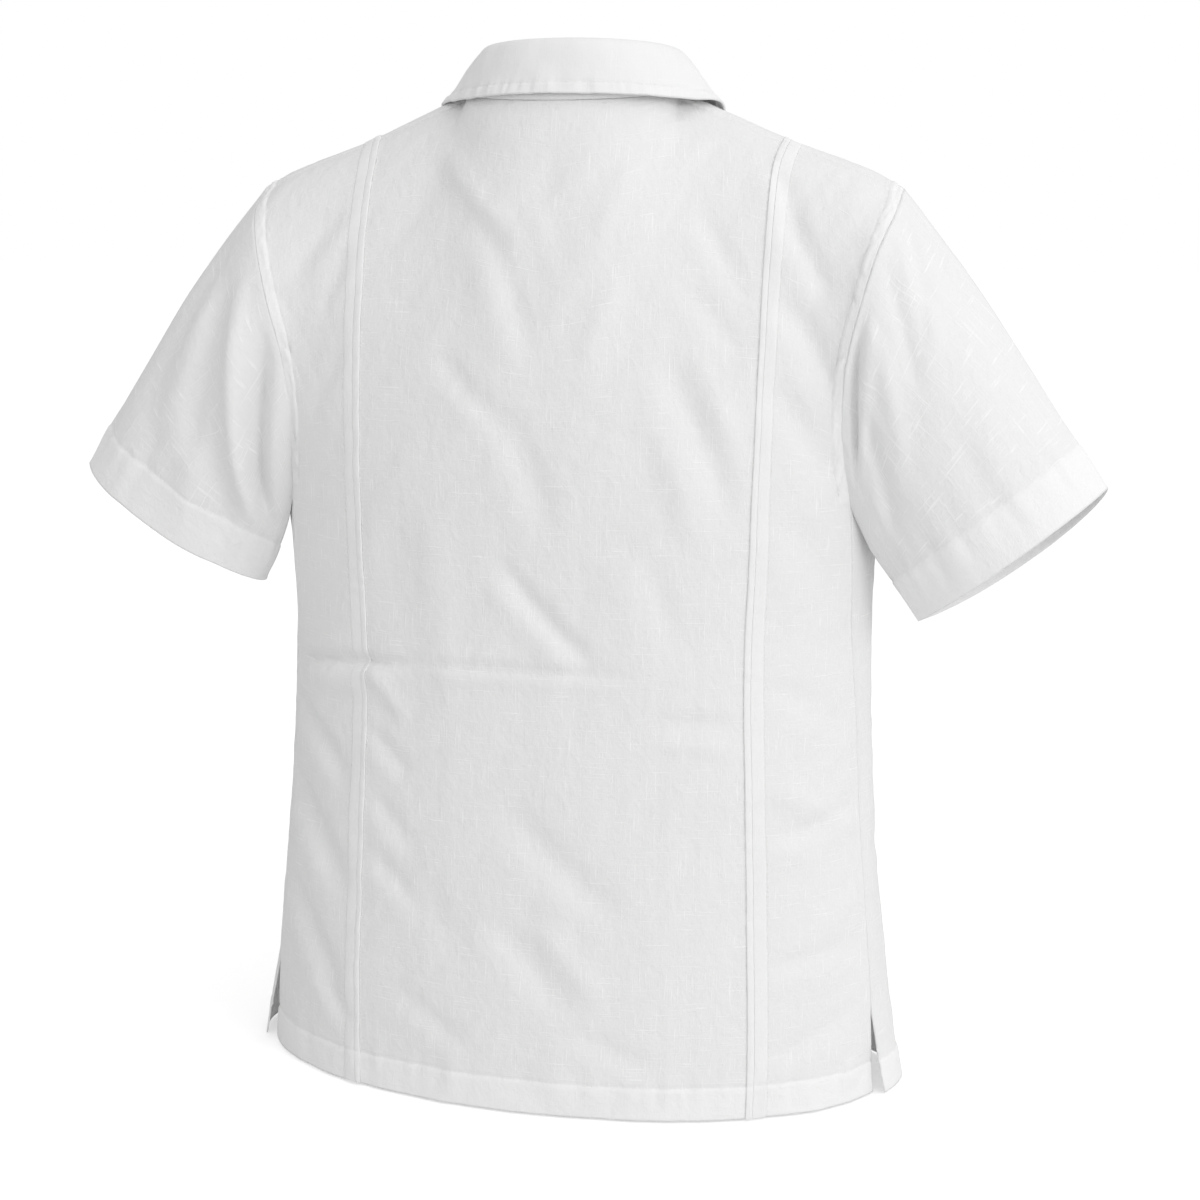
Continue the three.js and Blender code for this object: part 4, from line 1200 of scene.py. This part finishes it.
def button_mesh():
    b = BUTTON
    dished = b["thick"] - b["dish"]
    profile = [(b["radius"] - b["bevel"], 0), (b["radius"] - 0.0002, 0.0002), (b["radius"], b["bevel"]),
               (b["radius"], b["thick"] - b["bevel"]), (b["radius"] - 0.0002, b["thick"] - 0.0002),
               (b["radius"] - b["bevel"], b["thick"]), (b["radius"] - b["rim"], b["thick"] - 0.0001),
               (b["radius"] - b["rim"] - b["bevel"], dished), (0.0006, dished)]
    blank = bpy.data.objects.new("button blank", lathe("button blank", profile, 40))
    drills = bpy.data.objects.new("drills", bpy.data.meshes.new("drills"))
    points, faces = [], []
    for x, y in HOLES:
        first = len(points)
        for z in (-0.001, 0.004):
            points += [(x + 0.0006 * math.cos(a), y + 0.0006 * math.sin(a), z) for a in np.arange(10) * math.pi / 5]
        faces += [(first + k, first + (k + 1) % 10, first + 10 + (k + 1) % 10, first + 10 + k) for k in range(10)]
        faces += [tuple(first + k for k in range(9, -1, -1)), tuple(first + 10 + k for k in range(10))]
    drills.data.from_pydata(points, [], faces)
    for thing in (blank, drills):
        bpy.context.scene.collection.objects.link(thing)
    cut = blank.modifiers.new("holes", "BOOLEAN")
    cut.object = drills
    cut.solver = "EXACT"
    mesh = bpy.data.meshes.new_from_object(blank.evaluated_get(bpy.context.evaluated_depsgraph_get()))
    for thing in (blank, drills):
        bpy.data.objects.remove(thing)
    return mesh


def pearl_material():
    material = bpy.data.materials.new("pearly button")
    material.use_nodes = True
    tree = material.node_tree
    shader = tree.nodes["Principled BSDF"]
    shader.inputs["Roughness"].default_value = 0.28
    shader.inputs["Coat Weight"].default_value = 0.3
    clouds = scaled_noise(tree, tree.nodes.new("ShaderNodeTexCoord").outputs["Object"], (260, 260, 420), 3)
    ramp = tree.nodes.new("ShaderNodeValToRGB")
    ramp.color_ramp.elements[0].color = (0.74, 0.71, 0.64, 1)
    ramp.color_ramp.elements[1].color = (0.90, 0.88, 0.83, 1)
    tree.links.new(clouds, ramp.inputs["Fac"])
    tree.links.new(ramp.outputs["Color"], shader.inputs["Base Color"])
    return material


PEARL = pearl_material()
blank_mesh = button_mesh()
button_nodes = sorted(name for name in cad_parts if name.startswith("button_"))
crossings = []
for node in button_nodes:
    low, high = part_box(node)
    centre = np.array((low + high) / 2)
    heights = np.linspace(0.05, 1.99, 400)
    middle = front_point(1, np.zeros(400), heights)
    near = heights[np.argmin(np.abs(middle[:, 2] - centre[2]))]
    normal = Vector(body_frame("front", np.array(0.0), np.array(near))[1])
    seat = Vector(front_point(1, np.array(0.0), np.array(near), WALL / 2 + 0.0002))
    turn = normal.to_track_quat("Z", "Y").to_matrix().to_4x4()
    mesh = blank_mesh.copy()
    mesh.transform(Matrix.Translation(seat) @ turn)
    mesh.shade_flat()
    mesh.materials.clear()
    mesh.materials.append(PEARL)
    piece = bpy.data.objects.new(f"{node}_pearl", mesh)
    bpy.context.scene.collection.objects.link(piece)
    made[node] = piece
    rise = 0.0019
    holes = [Matrix.Translation(seat) @ turn @ Vector((x, y, rise)) for x, y in HOLES]
    crossings += [[holes[0], holes[3]], [holes[1], holes[2]]]
threads = grow("button_threads", crossings, stitch_tree(THREAD), Pitch=0.0010, Length=0.0014, Thickness=0.0005)
print(len(button_nodes), "buttons of", triangles(made[button_nodes[0]]), "triangles")

# %% [markdown]
# ## Every piece on the body
#
# Each piece rides on the shirt's one body and takes its finish: the tucks and the collar
# the tucked cotton, the other cloth pieces the white cotton, while the buttons keep their
# pearl. The fitted piece each one stands for is hidden.


def slot_of(node):
    if node.startswith("button_"):
        return "button"
    return "tuck_cloth" if node.startswith("tuck") else "cloth"


for node, piece in made.items():
    if slot_of(node) != "button":
        piece.data.materials.append(TUCK_CLOTH if node.startswith(("tuck", "collar")) else CLOTH)
    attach(piece, "root")
    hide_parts(node)
for piece, slot in ((stitches, "cloth"), (threads, "button")):
    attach(piece, "root")
print(len(made) + 2, "pieces on the body")

# %% [markdown]
# ## Light and floor
#
# The shirt stands just on a plain white floor under a very soft white light, brighter from
# the wearer's right and behind. A large area light gives that direction, and the sky gives
# the rest, so the folds are shaded gently and the left side falls a little darker. A dim
# light inside stands in for the daylight that thin white cloth lets through.

# %% Light and floor
FLOOR_GLOW = 0.42
SKY_FROM = (-0.75, 0.5, 0.43)
SKY_LEAN = 0.52
SKY_STRENGTH = 0.7
KEY_POWER = 18
INSIDE_POWER = 0.3


def make_floor(z):
    size = 40
    mesh = bpy.data.meshes.new("floor")
    mesh.from_pydata([(x * size, y * size, z) for x, y in ((-1, -1), (1, -1), (1, 1), (-1, 1))], [], [(0, 1, 2, 3)])
    white = plain_material("white floor", (0.80, 0.80, 0.80), 1.0)
    tree = white.node_tree
    shader = tree.nodes["Principled BSDF"]
    shader.inputs["Emission Color"].default_value = (1, 1, 1, 1)
    seen = maths(tree, "MULTIPLY", tree.nodes.new("ShaderNodeLightPath").outputs["Is Camera Ray"], FLOOR_GLOW)
    tree.links.new(seen, shader.inputs["Emission Strength"])
    mesh.materials.append(white)
    floor = bpy.data.objects.new("floor", mesh)
    bpy.context.scene.collection.objects.link(floor)
    floor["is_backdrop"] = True
    return floor


def area_light(name, spot, aim, size, power):
    data = bpy.data.lights.new(name, "AREA")
    data.size = size
    data.energy = power
    light = bpy.data.objects.new(name, data)
    light.location = spot
    light.rotation_euler = (Vector(aim) - Vector(spot)).to_track_quat("-Z", "Y").to_euler()
    bpy.context.scene.collection.objects.link(light)


def inside_light(spot, size, power):
    data = bpy.data.lights.new("through the cloth", "POINT")
    data.shadow_soft_size = size
    data.energy = power
    light = bpy.data.objects.new("through the cloth", data)
    light.location = spot
    bpy.context.scene.collection.objects.link(light)


def studio_sky():
    """Soft light from all round, stronger from SKY_FROM; seen directly it is plain white."""
    world = bpy.data.worlds.new("white studio")
    world.use_nodes = True
    bpy.context.scene.world = world
    tree = world.node_tree
    light = tree.nodes["Background"]
    towards = tree.nodes.new("ShaderNodeVectorMath")
    towards.operation = "DOT_PRODUCT"
    towards.inputs[1].default_value = Vector(SKY_FROM).normalized()
    tree.links.new(tree.nodes.new("ShaderNodeTexCoord").outputs["Generated"], towards.inputs[0])
    lean = maths(tree, "MULTIPLY", towards.outputs["Value"], SKY_LEAN)
    strength = maths(tree, "MULTIPLY", maths(tree, "ADD", lean, 1.0), SKY_STRENGTH)
    tree.links.new(strength, light.inputs["Strength"])
    plain = tree.nodes.new("ShaderNodeBackground")
    mix = tree.nodes.new("ShaderNodeMixShader")
    tree.links.new(tree.nodes.new("ShaderNodeLightPath").outputs["Is Camera Ray"], mix.inputs["Fac"])
    for number, source in ((1, light), (2, plain)):
        source.inputs["Color"].default_value = (1, 1, 1, 1)
        tree.links.new(source.outputs[0], mix.inputs[number])
    tree.links.new(mix.outputs[0], tree.nodes["World Output"].inputs["Surface"])


floor = make_floor(HEM_Z - 0.0015)
area_light("key", (-2.4, 1.7, 0.9), (0, 0, -0.35), 1.2, KEY_POWER)
inside_light((0, 0, -0.45), 0.06, INSIDE_POWER)
studio_sky()
bpy.context.scene.view_settings.view_transform = "Standard"
print("floor at", round(HEM_Z - 0.0015, 4))

# %% The size of what is drawn
visual_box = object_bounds()
boxes = {"cad": [list(corner) for corner in cad_box], "visual": [list(corner) for corner in visual_box]}
print("visual box", [[round(v, 3) for v in corner] for corner in visual_box])
